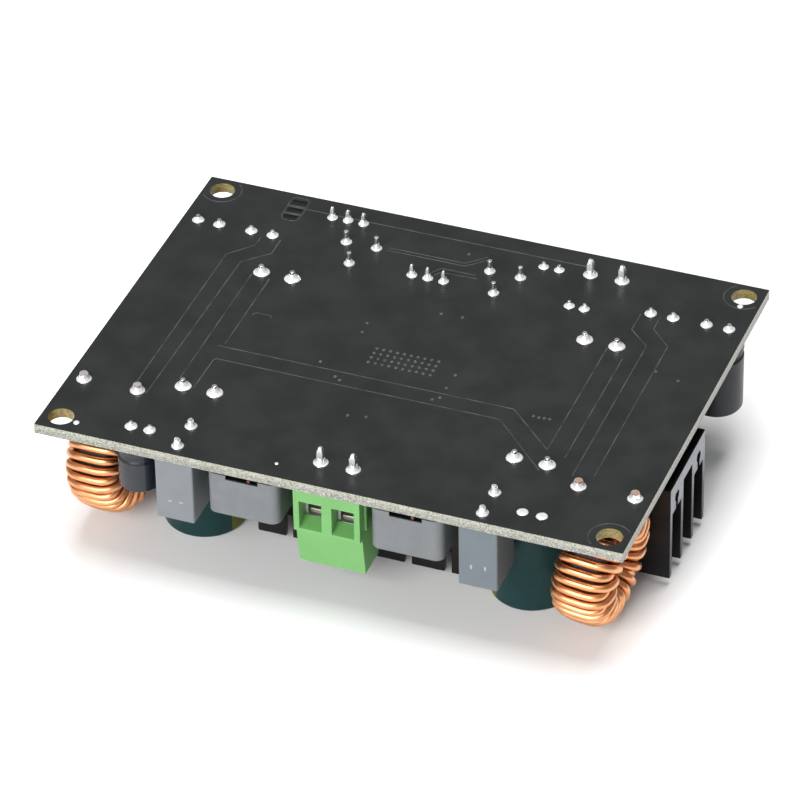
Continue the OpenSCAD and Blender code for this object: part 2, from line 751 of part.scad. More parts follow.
module wire_along(path) {
    rings = len(path);
    n = wire_sides;
    sideways = carried(path);
    points = [for (k = [0 : rings - 1]) each wire_section(path[k], tangent(path, k), sideways[k])];
    sides = [for (k = [0 : rings - 2], j = [0 : n - 1]) each [
        [k * n + j, k * n + (j + 1) % n, (k + 1) * n + j],
        [k * n + (j + 1) % n, (k + 1) * n + (j + 1) % n, (k + 1) * n + j]]];
    caps = [[for (j = [n - 1 : -1 : 0]) j], [for (j = [0 : n - 1]) (rings - 1) * n + j]];
    polyhedron(points, concat(sides, caps));
}

module coil_core(x, seat) {
    color([0.16, 0.15, 0.14]) mounted(x, coil_y) translate([seat[0], seat[1], coil_h])
        rotate([0, 0, -seat[2]]) rotate([0, 90 - seat[3], 0]) rotate_extrude() translate([wind_mid, 0])
            rounded_square((core_od - core_id) / 2, core_w, core_edge);
}

module coil_winding(x, seat) {
    color([0.78, 0.45, 0.26]) mounted(x, coil_y)
        wire_along(concat(lead_path(-1, seat), winding_path(seat), reversed(lead_path(1, seat))));
}

// Film capacitors: a moulded box on four small feet
module film_capacitor(x) {
    foot_h = 0.4;
    foot_w = 1;
    color([0.55, 0.57, 0.6]) mounted(x, film_y) {
        translate([front_shift, 0, 0]) {
            difference() {
                translate([0, 0, foot_h]) linear_extrude(film_h - foot_h) rounded_square(film_w, film_d, 0.3);
                translate([0, 0, foot_h - 0.1]) linear_extrude(0.5)
                    rounded_square(film_w - 1.2, film_d - 1.2, 0.3);
            }
            for (sx = [-1, 1], sy = [-1, 1])
                translate([sx * (film_w - foot_w) / 2, sy * (film_d - foot_w) / 2, foot_h / 2])
                    cube([foot_w - 0.2, foot_w - 0.2, foot_h], center = true);
        }
        for (s = [-1, 1]) lead(0, s * film_pitch / 2, film_lead, film_stub, foot_h + 1);
    }
}

// Shielded chokes: a ferrite shield around a drum core on a base plate, with its coil between the flanges
module choke_shield(x) {
    color([0.56, 0.58, 0.61]) mounted(x, choke_y) difference() {
        translate([0, 0, choke_base_t]) linear_extrude(choke_h - choke_base_t) difference() {
            rounded_square(choke_w, choke_w, choke_r);
            circle(d = choke_bore);
        }
        translate([-choke_notch_w / 2, -choke_w / 2 - 1, choke_base_t - 1])
            cube([choke_notch_w, choke_w + 2, choke_notch_h + 1]);
    }
}

module choke_drum(x) {
    color([0.1, 0.1, 0.11]) mounted(x, choke_y) {
        linear_extrude(choke_base_t) rounded_square(choke_base_w, choke_base_w, choke_r / 2);
        cylinder(d = flange_d, h = choke_base_t + flange_t);
        cylinder(d = post_d, h = drum_top);
        translate([0, 0, drum_top - flange_t]) cylinder(d = flange_d, h = flange_t);
    }
}

module choke_winding(x) {
    low = choke_base_t + flange_t;
    high = drum_top - flange_t;
    color([0.75, 0.42, 0.24]) mounted(x, choke_y) translate([0, 0, low + eps]) difference() {
        cylinder(d = flange_d - 4 * drum_play, h = high - low - 2 * eps);
        translate([0, 0, -1]) cylinder(d = post_d + 2 * eps, h = high - low + 2);
    }
    color([0.75, 0.42, 0.24]) mounted(x, choke_y)
        translate([wire_end_x, flange_d / 2, choke_base_t + wire_end_d / 2 + eps]) rotate([-90, 0, 0])
            cylinder(d = wire_end_d, h = (choke_w - flange_d) / 2 - drum_play);
}

// Screw terminals: a moulded housing with funnel entries, and in each pole a screw, a rising clamp
// and a fixed contact strip that ends in the soldered pin
module term_outline() {
    slope_h = ledge_h + 0.2;
    polygon([
        [-term_back, 0], [term_front, 0], [term_front, ledge_h], [term_front - ledge_step, ledge_h + 0.15],
        [term_front - ledge_step - term_nose, term_h], [-term_back + 1.3, term_h], [-term_back, slope_h]]);
}

module wire_entry() {
    depth = term_front - chamber_front;
    translate([-entry_w / 2, chamber_front, 0]) rotate([90, 0, 90]) linear_extrude(entry_w) polygon([
        [-0.5, entry_low], [depth + 1, entry_low], [depth + 1, entry_face_top + 0.4],
        [depth, entry_face_top], [0, entry_inner_top], [-0.5, entry_inner_top]]);
}

module pole_chamber() {
    half = clamp_w / 2 + clamp_play;
    translate([-half, clamp_back - clamp_play, chamber_low])
        cube([2 * half, chamber_front - clamp_back + clamp_play, chamber_top - chamber_low]);
    translate([-strip_w / 2 - clamp_play, chamber_back, -1])
        cube([strip_w + 2 * clamp_play, clamp_back - chamber_back, strip_top + clamp_play + 1]);
    translate([-strip_w / 2 - clamp_play, chamber_back, -1])
        cube([strip_w + 2 * clamp_play, term_pin - chamber_back, chamber_low + 1.5]);
    translate([0, 0, chamber_top - 0.5]) cylinder(d = screw_d + 2 * screw_play, h = shoulder_t + 1);
    translate([0, 0, head_low]) cylinder(d = screw_head_d + 2 * screw_play, h = term_h);
}

module terminal_housing() {
    color([0.42, 0.78, 0.4]) {
        difference() {
            translate([-term_w / 2, 0, 0]) rotate([90, 0, 90]) linear_extrude(term_w) term_outline();
            for (s = [-1, 1]) translate([s * pole_pitch / 2, 0, 0]) {
                wire_entry();
                pole_chamber();
            }
            translate([-term_w / 2 - 1, rib_y - clamp_play, -1])
                cube([rib_t + 1, rib_w + 2 * clamp_play, ledge_h]);
        }
        translate([term_w / 2, rib_y, 0]) cube([rib_t, rib_w, ledge_h - 1.2]);
    }
}

module terminal_contact(s) {
    translate([s * pole_pitch / 2, 0, 0]) {
        square_pin(0, 0, term_pin, term_stub, 0.5);
        translate([-strip_w / 2, 0, 0]) rotate([90, 0, 90]) linear_extrude(strip_w) polygon([
            [term_pin / 2, clamp_play], [term_pin / 2, chamber_low - clamp_play],
            [strip_back + strip_t, chamber_low - clamp_play], [strip_back + strip_t, strip_low],
            [clamp_front - clamp_play, strip_low], [clamp_front - clamp_play, strip_top],
            [strip_back, strip_top], [strip_back, clamp_play]]);
    }
}

module terminal_contacts() {
    color([0.8, 0.8, 0.78]) for (s = [-1, 1]) terminal_contact(s);
}

module rising_clamp(s) {
    depth = clamp_front - clamp_back;
    color([0.82, 0.82, 0.8]) translate([s * pole_pitch / 2, 0, 0]) difference() {
        translate([-clamp_w / 2, clamp_back, clamp_low]) cube([clamp_w, depth, clamp_top - clamp_low]);
        translate([-clamp_w / 2 + clamp_wall, clamp_back - 1, clamp_low + clamp_floor])
            cube([clamp_w - 2 * clamp_wall, depth + 2, bridge_low - clamp_low - clamp_floor]);
        translate([0, 0, bridge_low - 1]) cylinder(d = screw_d + 2 * screw_play, h = clamp_bridge + 2);
    }
}

module clamp_screw(s) {
    cut_w = 0.7;
    cut_depth = 0.8;
    color([0.83, 0.83, 0.82]) translate([s * pole_pitch / 2, 0, 0]) difference() {
        union() {
            translate([0, 0, bridge_low]) cylinder(d = screw_d, h = head_low - bridge_low + eps);
            translate([0, 0, head_low]) cylinder(d = screw_head_d, h = head_t);
        }
        translate([-screw_head_d, -cut_w / 2, head_low + head_t - cut_depth])
            cube([2 * screw_head_d, cut_w, 2]);
    }
}

// Terminal places: the front one faces the front edge, the back one is turned about to face the back edge
module at_front_terminal() {
    mounted(0, front_term_y) children();
}

module at_back_terminal() {
    mounted(back_term_x, back_term_y) rotate([0, 0, 180]) children();
}

// Pin headers
module header_strip(x, y) {
    strip_h = 2.5;
    color([0.1, 0.1, 0.1]) mounted(x, y) difference() {
        translate([-1.5 * header_pitch, -header_pitch / 2, 0])
            cube([3 * header_pitch, header_pitch, strip_h]);
        for (i = [-1, 0, 1])
            translate([i * header_pitch - header_pin / 2 - eps, -header_pin / 2 - eps, -1])
                cube([header_pin + 2 * eps, header_pin + 2 * eps, strip_h + 2]);
        for (i = [-1, 0, 1, 2], s = [-1, 1])
            translate([(i - 0.5) * header_pitch, s * header_pitch / 2, -1]) rotate([0, 0, 45])
                translate([-0.3, -0.3, 0]) cube([0.6, 0.6, strip_h + 2]);
    }
}

module header_pins(x, y) {
    color([0.85, 0.78, 0.55]) mounted(x, y)
        for (i = [-1, 0, 1]) square_pin(i * header_pitch, 0, header_pin, header_stub, header_h);
}

// Trimmers: a moulded body with a turning rotor on a pivot
module trimmer_body(x) {
    color([0.16, 0.3, 0.6]) mounted(x, trim_y) {
        difference() {
            linear_extrude(trim_h) rounded_square(trim_w, trim_d, 0.5);
            translate([0, 0, trim_h - rotor_sink]) cylinder(d = rotor_d + 2 * trim_ring, h = 2);
            translate([0, 0, -1]) cylinder(d = pivot_d + 2 * pivot_play, h = trim_h + 2);
        }
        for (s = [-1, 1]) lead(s * trim_pitch / 2, -trim_reach / 2, trim_lead, header_stub, trim_seat);
        lead(0, trim_reach / 2, trim_lead, header_stub, trim_seat);
    }
}

module trimmer_rotor(x) {
    slot_l = rotor_d * 0.7;
    color([0.85, 0.83, 0.78]) mounted(x, trim_y) difference() {
        union() {
            translate([0, 0, pivot_low]) cylinder(d = pivot_d, h = rotor_low);
            translate([0, 0, rotor_low]) cylinder(d = rotor_d, h = rotor_t);
        }
        for (turn = [0, 90]) rotate([0, 0, turn])
            translate([-slot_l / 2, -rotor_slot_w / 2, rotor_low + rotor_t - rotor_slot_depth])
                cube([slot_l, rotor_slot_w, 1]);
    }
}

// Indicator lamp: a flanged dome with two leads
module indicator_lamp() {
    flange_h = 1;
    color([0.85, 0.3, 0.25, 0.8]) mounted(lamp_x, lamp_y) {
        cylinder(d = lamp_flange_d, h = flange_h);
        cylinder(d = lamp_d, h = lamp_h - lamp_d / 2);
        translate([0, 0, lamp_h - lamp_d / 2]) sphere(d = lamp_d);
        for (s = [-1, 1]) lead(s * lamp_pitch / 2, 0, small_lead, supply_stub);
    }
}

circuit_board();
solder_joints();
heatsink();
bonding_pad();
amplifier_chip();
chip_capacitors();
reservoir_can(0);  // reservoir_can_front_left
reservoir_can(1);  // reservoir_can_back_left
reservoir_can(2);  // reservoir_can_front_right
reservoir_can(3);  // reservoir_can_back_right
reservoir_sleeve(0);  // reservoir_sleeve_front_left
reservoir_sleeve(1);  // reservoir_sleeve_back_left
reservoir_sleeve(2);  // reservoir_sleeve_front_right
reservoir_sleeve(3);  // reservoir_sleeve_back_right
supply_can(0);  // supply_can_1
supply_can(1);  // supply_can_2
supply_can(2);  // supply_can_3
supply_can(3);  // supply_can_4
supply_sleeve(0);  // supply_sleeve_1
supply_sleeve(1);  // supply_sleeve_2
supply_sleeve(2);  // supply_sleeve_3
supply_sleeve(3);  // supply_sleeve_4
filter_can();
filter_sleeve();
coupling_can();
coupling_sleeve();
coil_core(-coil_x, COIL_LEFT);  // coil_core_left
coil_core(coil_x, COIL_RIGHT);  // coil_core_right
coil_winding(-coil_x, COIL_LEFT);  // coil_winding_left
coil_winding(coil_x, COIL_RIGHT);  // coil_winding_right
film_capacitor(-film_x);  // film_capacitor_left
film_capacitor(film_x);  // film_capacitor_right
choke_shield(-choke_x + front_shift);  // choke_shield_left
choke_shield(choke_x + front_shift);  // choke_shield_right
choke_drum(-choke_x + front_shift);  // choke_drum_left
choke_drum(choke_x + front_shift);  // choke_drum_right
choke_winding(-choke_x + front_shift);  // choke_winding_left
choke_winding(choke_x + front_shift);  // choke_winding_right
at_front_terminal() terminal_housing();  // front_terminal_housing
at_front_terminal() terminal_contacts();  // front_terminal_contacts
at_front_terminal() rising_clamp(-1);  // front_clamp_left
at_front_terminal() rising_clamp(1);  // front_clamp_right
at_front_terminal() clamp_screw(-1);  // front_screw_left
at_front_terminal() clamp_screw(1);  // front_screw_right
at_back_terminal() terminal_housing();  // back_terminal_housing
at_back_terminal() terminal_contacts();  // back_terminal_contacts
at_back_terminal() rising_clamp(1);  // back_clamp_left
at_back_terminal() rising_clamp(-1);  // back_clamp_right
at_back_terminal() clamp_screw(1);  // back_screw_left
at_back_terminal() clamp_screw(-1);  // back_screw_right
header_strip(-input_x, input_y);  // input_header_strip
header_pins(-input_x, input_y);  // input_header_pins
header_strip(-jumper_x, jumper_y);  // jumper_header_strip
header_pins(-jumper_x, jumper_y);  // jumper_header_pins
trimmer_body(-trim_left_x);  // trimmer_body_left
trimmer_body(trim_right_x);  // trimmer_body_right
trimmer_rotor(-trim_left_x);  // trimmer_rotor_left
trimmer_rotor(trim_right_x);  // trimmer_rotor_right
indicator_lamp();
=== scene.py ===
"""Looks of an audio amplifier board that stands on its capacitors with the solder side up.

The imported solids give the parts' sizes and places. This script dresses them, softens their moulded edges,
and makes what repeats or follows a path: the coils' wire, the solder joints, the copper edges and windows
under the mask, and the tented vias. Places and sizes in the classes are in millimetres, as on a drawing,
apart from the studio's. Meshes are in metres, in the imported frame.
"""
import logging
import math
import random
from dataclasses import dataclass
from enum import StrEnum
from typing import Iterable, Mapping, Sequence, Union

import bmesh
import bpy
from mathutils import Euler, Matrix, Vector


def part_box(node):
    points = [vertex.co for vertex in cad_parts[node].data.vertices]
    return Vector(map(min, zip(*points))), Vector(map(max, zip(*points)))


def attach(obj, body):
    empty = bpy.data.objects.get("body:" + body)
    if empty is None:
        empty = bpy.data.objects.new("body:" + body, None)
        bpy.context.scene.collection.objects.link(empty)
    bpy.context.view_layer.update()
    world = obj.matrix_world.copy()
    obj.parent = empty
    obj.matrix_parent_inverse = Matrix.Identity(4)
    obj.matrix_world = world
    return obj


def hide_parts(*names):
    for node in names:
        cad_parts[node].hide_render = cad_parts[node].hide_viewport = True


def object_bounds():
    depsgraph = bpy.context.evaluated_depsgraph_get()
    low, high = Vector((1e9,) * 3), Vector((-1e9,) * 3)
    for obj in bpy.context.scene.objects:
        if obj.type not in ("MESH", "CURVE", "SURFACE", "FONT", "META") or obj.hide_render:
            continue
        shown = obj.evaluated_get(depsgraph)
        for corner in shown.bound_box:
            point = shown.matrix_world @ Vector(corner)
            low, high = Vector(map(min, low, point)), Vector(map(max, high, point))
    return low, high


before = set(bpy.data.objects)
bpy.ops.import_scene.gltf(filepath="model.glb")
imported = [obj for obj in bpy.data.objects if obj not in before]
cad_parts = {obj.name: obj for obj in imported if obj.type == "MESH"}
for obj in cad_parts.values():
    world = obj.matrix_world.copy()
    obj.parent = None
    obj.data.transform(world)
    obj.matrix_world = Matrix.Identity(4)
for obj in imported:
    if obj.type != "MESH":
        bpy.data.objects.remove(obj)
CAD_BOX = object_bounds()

LOG = logging.getLogger("amplifier_board")
MM = 0.001
BOARD_BODY = "board_assembly"
BOARD_LOW, BOARD_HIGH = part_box("circuit_board")
BOARD_T = round((BOARD_HIGH.z - BOARD_LOW.z) / MM, 3)
SHARP_TURN = 35.0
# The bands of a noise that a mix of two shades runs over, and two levels of a noise's detail.
SOFT_BAND = (0.3, 0.7)
MOTTLE_BAND = (0.25, 0.75)
FINE = 3.0
COARSE = 1.0
Colour = tuple[float, float, float]
Pair = tuple[float, float]
Place = tuple[float, float]
Spot = tuple[float, float, float]
Socket = bpy.types.NodeSocket
Value = Union[float, Sequence[float], Socket]


class Side(StrEnum):
    """The half of the board that a part stands on."""

    LEFT = "left"
    RIGHT = "right"


class Row(StrEnum):
    """The long edge of the board that a part stands near."""

    FRONT = "front"
    BACK = "back"


class Run(StrEnum):
    """The way that a part's two leads stand apart."""

    ACROSS = "across"
    ALONG = "along"


class Graph:
    """A node tree with short calls that add its nodes and join their sockets."""

    def __init__(self, tree: bpy.types.NodeTree) -> None:
        """Keeps the tree that the calls work on."""
        self.tree = tree

    def put(self, socket: Socket, value: Value) -> None:
        """Fills an input.

        Args:
            socket: The input.
            value: A constant, or the output of another node, which is joined to it.
        """
        if isinstance(value, Socket):
            self.tree.links.new(value, socket)
        else:
            socket.default_value = value

    def made(
            self, kind: str, inputs: Mapping[str | int, Value], output: str | int = 0, **settings: object
    ) -> Socket:
        """Adds a node and fills its inputs.

        Args:
            kind: Blender's name for the node's class.
            inputs: What goes into each input, by the input's name or number.
            output: The name or number of the output that is wanted.
            settings: The node's own properties, such as its operation.

        Returns:
            The output.
        """
        node = self.tree.nodes.new(kind)
        for name, value in settings.items():
            setattr(node, name, value)
        for key, value in inputs.items():
            self.put(node.inputs[key], value)
        return node.outputs[output]

    def math(self, operation: str, first: Value, second: Value = 0.0) -> Socket:
        """Returns the result of an operation on one or two numbers."""
        return self.made("ShaderNodeMath", {0: first, 1: second}, operation=operation)

    def plus(self, first: Value, second: Value) -> Socket:
        """Returns the sum of two numbers."""
        return self.math("ADD", first, second)

    def less(self, first: Value, second: Value) -> Socket:
        """Returns the first number less the second."""
        return self.math("SUBTRACT", first, second)

    def over(self, first: Value, second: Value) -> Socket:
        """Returns the first number divided by the second."""
        return self.math("DIVIDE", first, second)

    def times(self, first: Value, *others: Value) -> Socket:
        """Multiplies some numbers.

        Args:
            first: The first number.
            others: The numbers that it is multiplied by, in turn.

        Returns:
            The product.
        """
        for other in others:
            first = self.math("MULTIPLY", first, other)
        return first

    def vector(self, operation: str, first: Value, second: Value = (0.0, 0.0, 0.0)) -> Socket:
        """Returns the result of an operation on vectors, a number for a length or a dot product."""
        output = "Value" if operation in {"LENGTH", "DOT_PRODUCT"} else "Vector"
        return self.made("ShaderNodeVectorMath", {0: first, 1: second}, output, operation=operation)

    def scaled(self, vector: Value, factor: Value) -> Socket:
        """Returns a vector times a number."""
        return self.made("ShaderNodeVectorMath", {0: vector, "Scale": factor}, operation="SCALE")

    def parts(self, vector: Value) -> tuple[Socket, ...]:
        """Returns a vector's three numbers."""
        return tuple(self.made("ShaderNodeSeparateXYZ", {0: vector}).node.outputs)

    def joined(self, x: Value, y: Value, z: Value) -> Socket:
        """Returns a vector made of three numbers."""
        return self.made("ShaderNodeCombineXYZ", {0: x, 1: y, 2: z})

    def share(self, value: Value, low: float, high: float) -> Socket:
        """Returns a share that runs softly from 0 where a number is low to 1 where it is high."""
        ends = {"Value": value, "From Min": low, "From Max": high}
        return self.made("ShaderNodeMapRange", ends, interpolation_type="SMOOTHSTEP")

    def mix(self, share: Value, first: Value, second: Value) -> Socket:
        """Returns a mix of two colours by the second one's share."""
        low, high = ((*shade, 1.0) if isinstance(shade, tuple) else shade for shade in (first, second))
        return self.made("ShaderNodeMix", {0: share, 6: low, 7: high}, 2, data_type="RGBA")

    def noise(self, place: Value, size: float, detail: float = 2.0) -> Socket:
        """Returns a soft noise from 0 to 1 with features of a size in millimetres."""
        entries = {"Vector": place, "Scale": 1.0 / (size * MM), "Detail": detail}
        return self.made("ShaderNodeTexNoise", entries)

    def swing(self, place: Value, size: float, detail: float = 2.0) -> Socket:
        """Returns a soft noise that swings from -0.5 to 0.5."""
        return self.less(self.noise(place, size, detail), 0.5)

    def stretched(self, place: Value, factors: Spot) -> Socket:
        """Returns a place multiplied along each axis, so that a noise on it runs in streaks."""
        return self.vector("MULTIPLY", place, factors)

    def facing(self) -> tuple[Socket, ...]:
        """Returns the three parts of the direction that a surface faces."""
        return self.parts(self.made("ShaderNodeNewGeometry", {}, "True Normal"))


def tinted(colour: Colour, factor: float) -> Colour:
    """Returns a colour made lighter or darker by a factor."""
    return tuple(min(1.0, part * factor) for part in colour)


@dataclass(frozen=True)
class Finish:
    """A surface: its colour, its gloss and the fine grain that it shows."""

    name: str
    colour: Colour
    roughness: float
    metallic: float = 0.0
    coat: float = 0.0
    specular: float = 0.5
    mottle: float = 0.12
    mottle_size: float = 3.0
    smudge: float = 0.06
    smudge_share: float = 0.6
    grain: float = 0.12
    grain_size: float = 0.2
    grain_depth: float = 0.05

    def material(self) -> bpy.types.Material:
        """Makes the finish's material, once.

        Returns:
            The material, which is shared after that.
        """
        made = bpy.data.materials.get(self.name)
        if made is not None:
            return made
        made = bpy.data.materials.new(self.name)
        made.use_nodes = True
        made.diffuse_color = (*self.colour, 1.0)
        graph = Graph(made.node_tree)
        shader = made.node_tree.nodes["Principled BSDF"]
        place = graph.made("ShaderNodeTexCoord", {}, "Object")
        entries = {
            "Base Color": self.tone(graph, place),
            "Roughness": self.gloss(graph, place),
            "Normal": self.relief(graph, place),
            "Metallic": self.metal(graph, place),
            "Coat Weight": self.coat,
            "Specular IOR Level": self.specular,
            **self.extras(graph, place),
        }
        for label, value in entries.items():
            graph.put(shader.inputs[label], value)
        return made

    def tone(self, graph: Graph, place: Value) -> Value:
        """Returns the colour over the surface, which wanders a little."""
        return self.mottled(graph, place, self.colour)

    def mottled(self, graph: Graph, place: Value, colour: Colour) -> Socket:
        """Returns a colour that wanders between a darker and a lighter shade of itself."""
        wander = graph.share(graph.noise(place, self.mottle_size, FINE), *MOTTLE_BAND)
        return graph.mix(wander, tinted(colour, 1.0 - self.mottle), tinted(colour, 1.0 + self.mottle))

    def speckled(self, graph: Graph, noise: Value, colour: Colour, tints: Pair) -> Socket:
        """Returns a colour that a noise takes from one tint of it to another."""
        return graph.mix(graph.share(noise, *SOFT_BAND), *(tinted(colour, tint) for tint in tints))

    def gloss(self, graph: Graph, place: Value) -> Value:
        """Returns the roughness over the surface."""
        wander = graph.swing(place, self.mottle_size * self.smudge_share)
        return graph.plus(graph.times(wander, 2.0 * self.smudge), self.roughness)

    def relief(self, graph: Graph, place: Value) -> Socket:
        """Returns the surface's direction with its grain."""
        return self.bumped(graph, graph.noise(place, self.grain_size))

    def bumped(self, graph: Graph, height: Value) -> Socket:
        """Returns the surface's direction after a bump of a few hundredths of a millimetre."""
        entries = {"Strength": self.grain, "Distance": self.grain_depth * MM, "Height": height}
        return graph.made("ShaderNodeBump", entries)

    def metal(self, graph: Graph, place: Value) -> Value:
        """Returns how far the surface is metal."""
        return self.metallic

    def extras(self, graph: Graph, place: Value) -> dict[str, Value]:
        """Returns the shader inputs that only some finishes set."""
        return {}


@dataclass(frozen=True)
class MaskFinish(Finish):
    """Solder mask on the board's two faces, with the bare laminate on its edges and in its holes, where its
    yellow tint is painted bounce light.
    """

    edge: Colour = (0.335, 0.335, 0.28)
    core: Colour = (0.255, 0.257, 0.232)
    core_top: float = -0.75
    core_blur: float = 0.2
    wander: float = 0.8
    wander_size: float = 0.35
    fleck: Colour = (0.115, 0.12, 0.1)
    fleck_size: float = 0.2
    fleck_band: Pair = (0.5, 0.64)
    fleck_weight: float = 0.75
    bleach: float = 1.5
    bleach_size: float = 0.22
    bleach_shift: Spot = (1.0, 2.0, 3.0)
    bleach_band: Pair = (0.55, 0.68)
    bleach_weight: float = 0.8
    # The laminate's colour in the holes, with a yellow tint that is painted bounce light inside them.
    bore_with_bounce: Colour = (0.25, 0.195, 0.075)
    bore_tints: Pair = (0.7, 1.3)
    bore_grain: float = 0.5
    bore_stretch: Spot = (1.0, 1.0, 2.0)
    rim: float = 0.4
    weave: float = 0.9
    weave_depth: float = 0.1

    def tone(self, graph: Graph, place: Value) -> Value:
        """Colours the mask on the faces and the laminate on what is upright, with painted bounce light in the
        holes.

        Args:
            graph: The material's tree.
            place: The place on the board.

        Returns:
            The colour.
        """
        upright = graph.math("LESS_THAN", graph.math("ABSOLUTE", graph.facing()[2]), 0.5)
        x, y, _ = graph.parts(graph.vector("ABSOLUTE", place))
        within = graph.times(
            graph.math("LESS_THAN", x, BOARD_HIGH.x - self.rim * MM),
            graph.math("LESS_THAN", y, BOARD_HIGH.y - self.rim * MM))
        grain = graph.noise(graph.stretched(place, self.bore_stretch), self.bore_grain)
        # Hole walls: the laminate, with a yellow tint of painted bounce light.
        wall = self.speckled(graph, grain, self.bore_with_bounce, self.bore_tints)
        bare = graph.mix(within, self.cut(graph, place), wall)
        return graph.mix(upright, self.mottled(graph, place, self.colour), bare)

    def cut(self, graph: Graph, place: Value) -> Socket:
        """Colours the sawn edge: a pale layer over the core, with dark and bleached flecks.

        Args:
            graph: The material's tree.
            place: The place on the board.

        Returns:
            The colour.
        """
        wander = graph.times(graph.swing(place, self.wander_size, FINE), self.wander * MM)
        level = graph.plus(graph.parts(place)[2], wander)
        low, high = ((self.core_top + blur) * MM for blur in (-self.core_blur, self.core_blur))
        layers = graph.mix(graph.share(level, low, high), self.core, self.edge)
        dark = graph.share(graph.noise(place, self.fleck_size, COARSE), *self.fleck_band)
        flecked = graph.mix(graph.times(dark, self.fleck_weight), layers, self.fleck)
        elsewhere = graph.vector("ADD", place, self.bleach_shift)
        pale = graph.share(graph.noise(elsewhere, self.bleach_size, COARSE), *self.bleach_band)
        return graph.mix(graph.times(pale, self.bleach_weight), flecked, tinted(self.edge, self.bleach))

    def relief(self, graph: Graph, place: Value) -> Socket:
        """Shapes the glass weave that shows through the mask.

        Args:
            graph: The material's tree.
            place: The place on the board.

        Returns:
            The surface's direction.
        """
        x, y, _ = graph.parts(graph.scaled(place, 2.0 * math.pi / (self.weave * MM)))
        cloth = graph.times(graph.math("SINE", x), graph.math("SINE", y), self.weave_depth)
        return self.bumped(graph, graph.plus(cloth, graph.noise(place, self.grain_size, FINE)))


@dataclass(frozen=True)
class AnodisedFinish(Finish):
    """Black anodised extrusion: streaks along its length, and paler sawn ends."""

    streak_size: float = 0.5
    streak_stretch: Spot = (0.03, 1.0, 1.0)
    streak_tints: Pair = (0.7, 1.35)
    die_stretch: Spot = (0.02, 1.0, 1.0)
    warm: Colour = (0.02, 0.012, 0.009)
    haze_size: float = 9.0
    haze_band: Pair = (0.45, 0.75)
    haze_weight: float = 0.5
    sawn: Colour = (0.27, 0.28, 0.31)
    saw_size: float = 0.18
    saw_stretch: Spot = (1.0, 1.0, 0.15)
    saw_tints: Pair = (0.75, 1.2)
    sawn_metal: float = 0.4
    fade: Pair = (-17.0, -8.0)
    fade_tint: float = 0.22

    def ends(self, graph: Graph) -> Socket:
        """Returns 1 on the sawn ends and 0 elsewhere."""
        return graph.math("GREATER_THAN", graph.math("ABSOLUTE", graph.facing()[0]), 0.8)

    def tone(self, graph: Graph, place: Value) -> Value:
        """Colours the skin with streaks and a warm haze, and the sawn ends, which darken downwards.

        Args:
            graph: The material's tree.
            place: The place on the extrusion.

        Returns:
            The colour.
        """
        streak = graph.noise(graph.stretched(place, self.streak_stretch), self.streak_size, FINE)
        skin = self.speckled(graph, streak, self.colour, self.streak_tints)
        haze = graph.share(graph.noise(place, self.haze_size), *self.haze_band)
        skin = graph.mix(graph.times(haze, self.haze_weight), skin, self.warm)
        saw = graph.noise(graph.stretched(place, self.saw_stretch), self.saw_size)
        bare = self.speckled(graph, saw, self.sawn, self.saw_tints)
        # The sawn ends are darker towards the bottom: full sawn tone higher up, fade_tint of it low down.
        upper_share = graph.share(graph.parts(place)[2], *(level * MM for level in self.fade))
        bare = graph.mix(upper_share, tinted(self.sawn, self.fade_tint), bare)
        return graph.mix(self.ends(graph), skin, bare)

    def metal(self, graph: Graph, place: Value) -> Value:
        """Returns how far the surface is bare metal, which is more on the sawn ends."""
        return graph.plus(graph.times(self.ends(graph), self.sawn_metal), self.metallic)

    def relief(self, graph: Graph, place: Value) -> Socket:
        """Returns the surface's direction with the die lines along the length."""
        return self.bumped(graph, graph.noise(graph.stretched(place, self.die_stretch), self.grain_size))


@dataclass(frozen=True)
class SleeveFinish(Finish):
    """A shrink sleeve with a plain stripe down one side."""

    axis: Place = (0.0, 0.0)
    stripe: Colour = (0.5, 0.5, 0.5)
    stripe_turn: float = 0.0
    stripe_half: float = 25.0
    stripe_blur: float = 0.004

    def tone(self, graph: Graph, place: Value) -> Value:
        """Colours the sleeve, and the stripe within its angle about the axis.

        Args:
            graph: The material's tree.
            place: The place on the sleeve.

        Returns:
            The colour.
        """
        x, y, _ = graph.parts(graph.vector("SUBTRACT", place, (self.axis[0] * MM, self.axis[1] * MM, 0.0)))
        around = graph.vector("NORMALIZE", graph.joined(x, y, 0.0))
        turn = math.radians(self.stripe_turn)
        along = graph.vector("DOT_PRODUCT", around, (math.cos(turn), math.sin(turn), 0.0))
        edge = math.cos(math.radians(self.stripe_half))
        on = graph.share(along, edge - self.stripe_blur, edge + self.stripe_blur)
        plain, striped = (self.mottled(graph, place, shade) for shade in (self.colour, self.stripe))
        return graph.mix(on, plain, striped)


@dataclass(frozen=True)
class WireFinish(Finish):
    """Lacquered copper wire, warmer in some stretches than in others, and tinned above the board."""

    warm: Colour = (0.62, 0.2, 0.07)
    warm_size: float = 2.2
    warm_band: Pair = (0.4, 0.8)
    warm_weight: float = 0.45
    tin: Colour = (0.86, 0.62, 0.47)
    tin_from: float = 0.3
    lacquer: float = 0.3

    def tone(self, graph: Graph, place: Value) -> Value:
        """Colours the copper, with warmer and darker stretches, and its tinned ends.

        Args:
            graph: The material's tree.
            place: The place on the wire.

        Returns:
            The colour.
        """
        warm = graph.share(graph.noise(place, self.warm_size), *self.warm_band)
        wire = self.mottled(graph, place, self.colour)
        wire = graph.mix(graph.times(warm, self.warm_weight), wire, self.warm)
        return graph.mix(graph.share(graph.parts(place)[2], 0.0, self.tin_from * MM), wire, self.tin)

    def extras(self, graph: Graph, place: Value) -> dict[str, Value]:
        """Returns the lacquer's own gloss."""
        return {"Coat Roughness": self.lacquer}


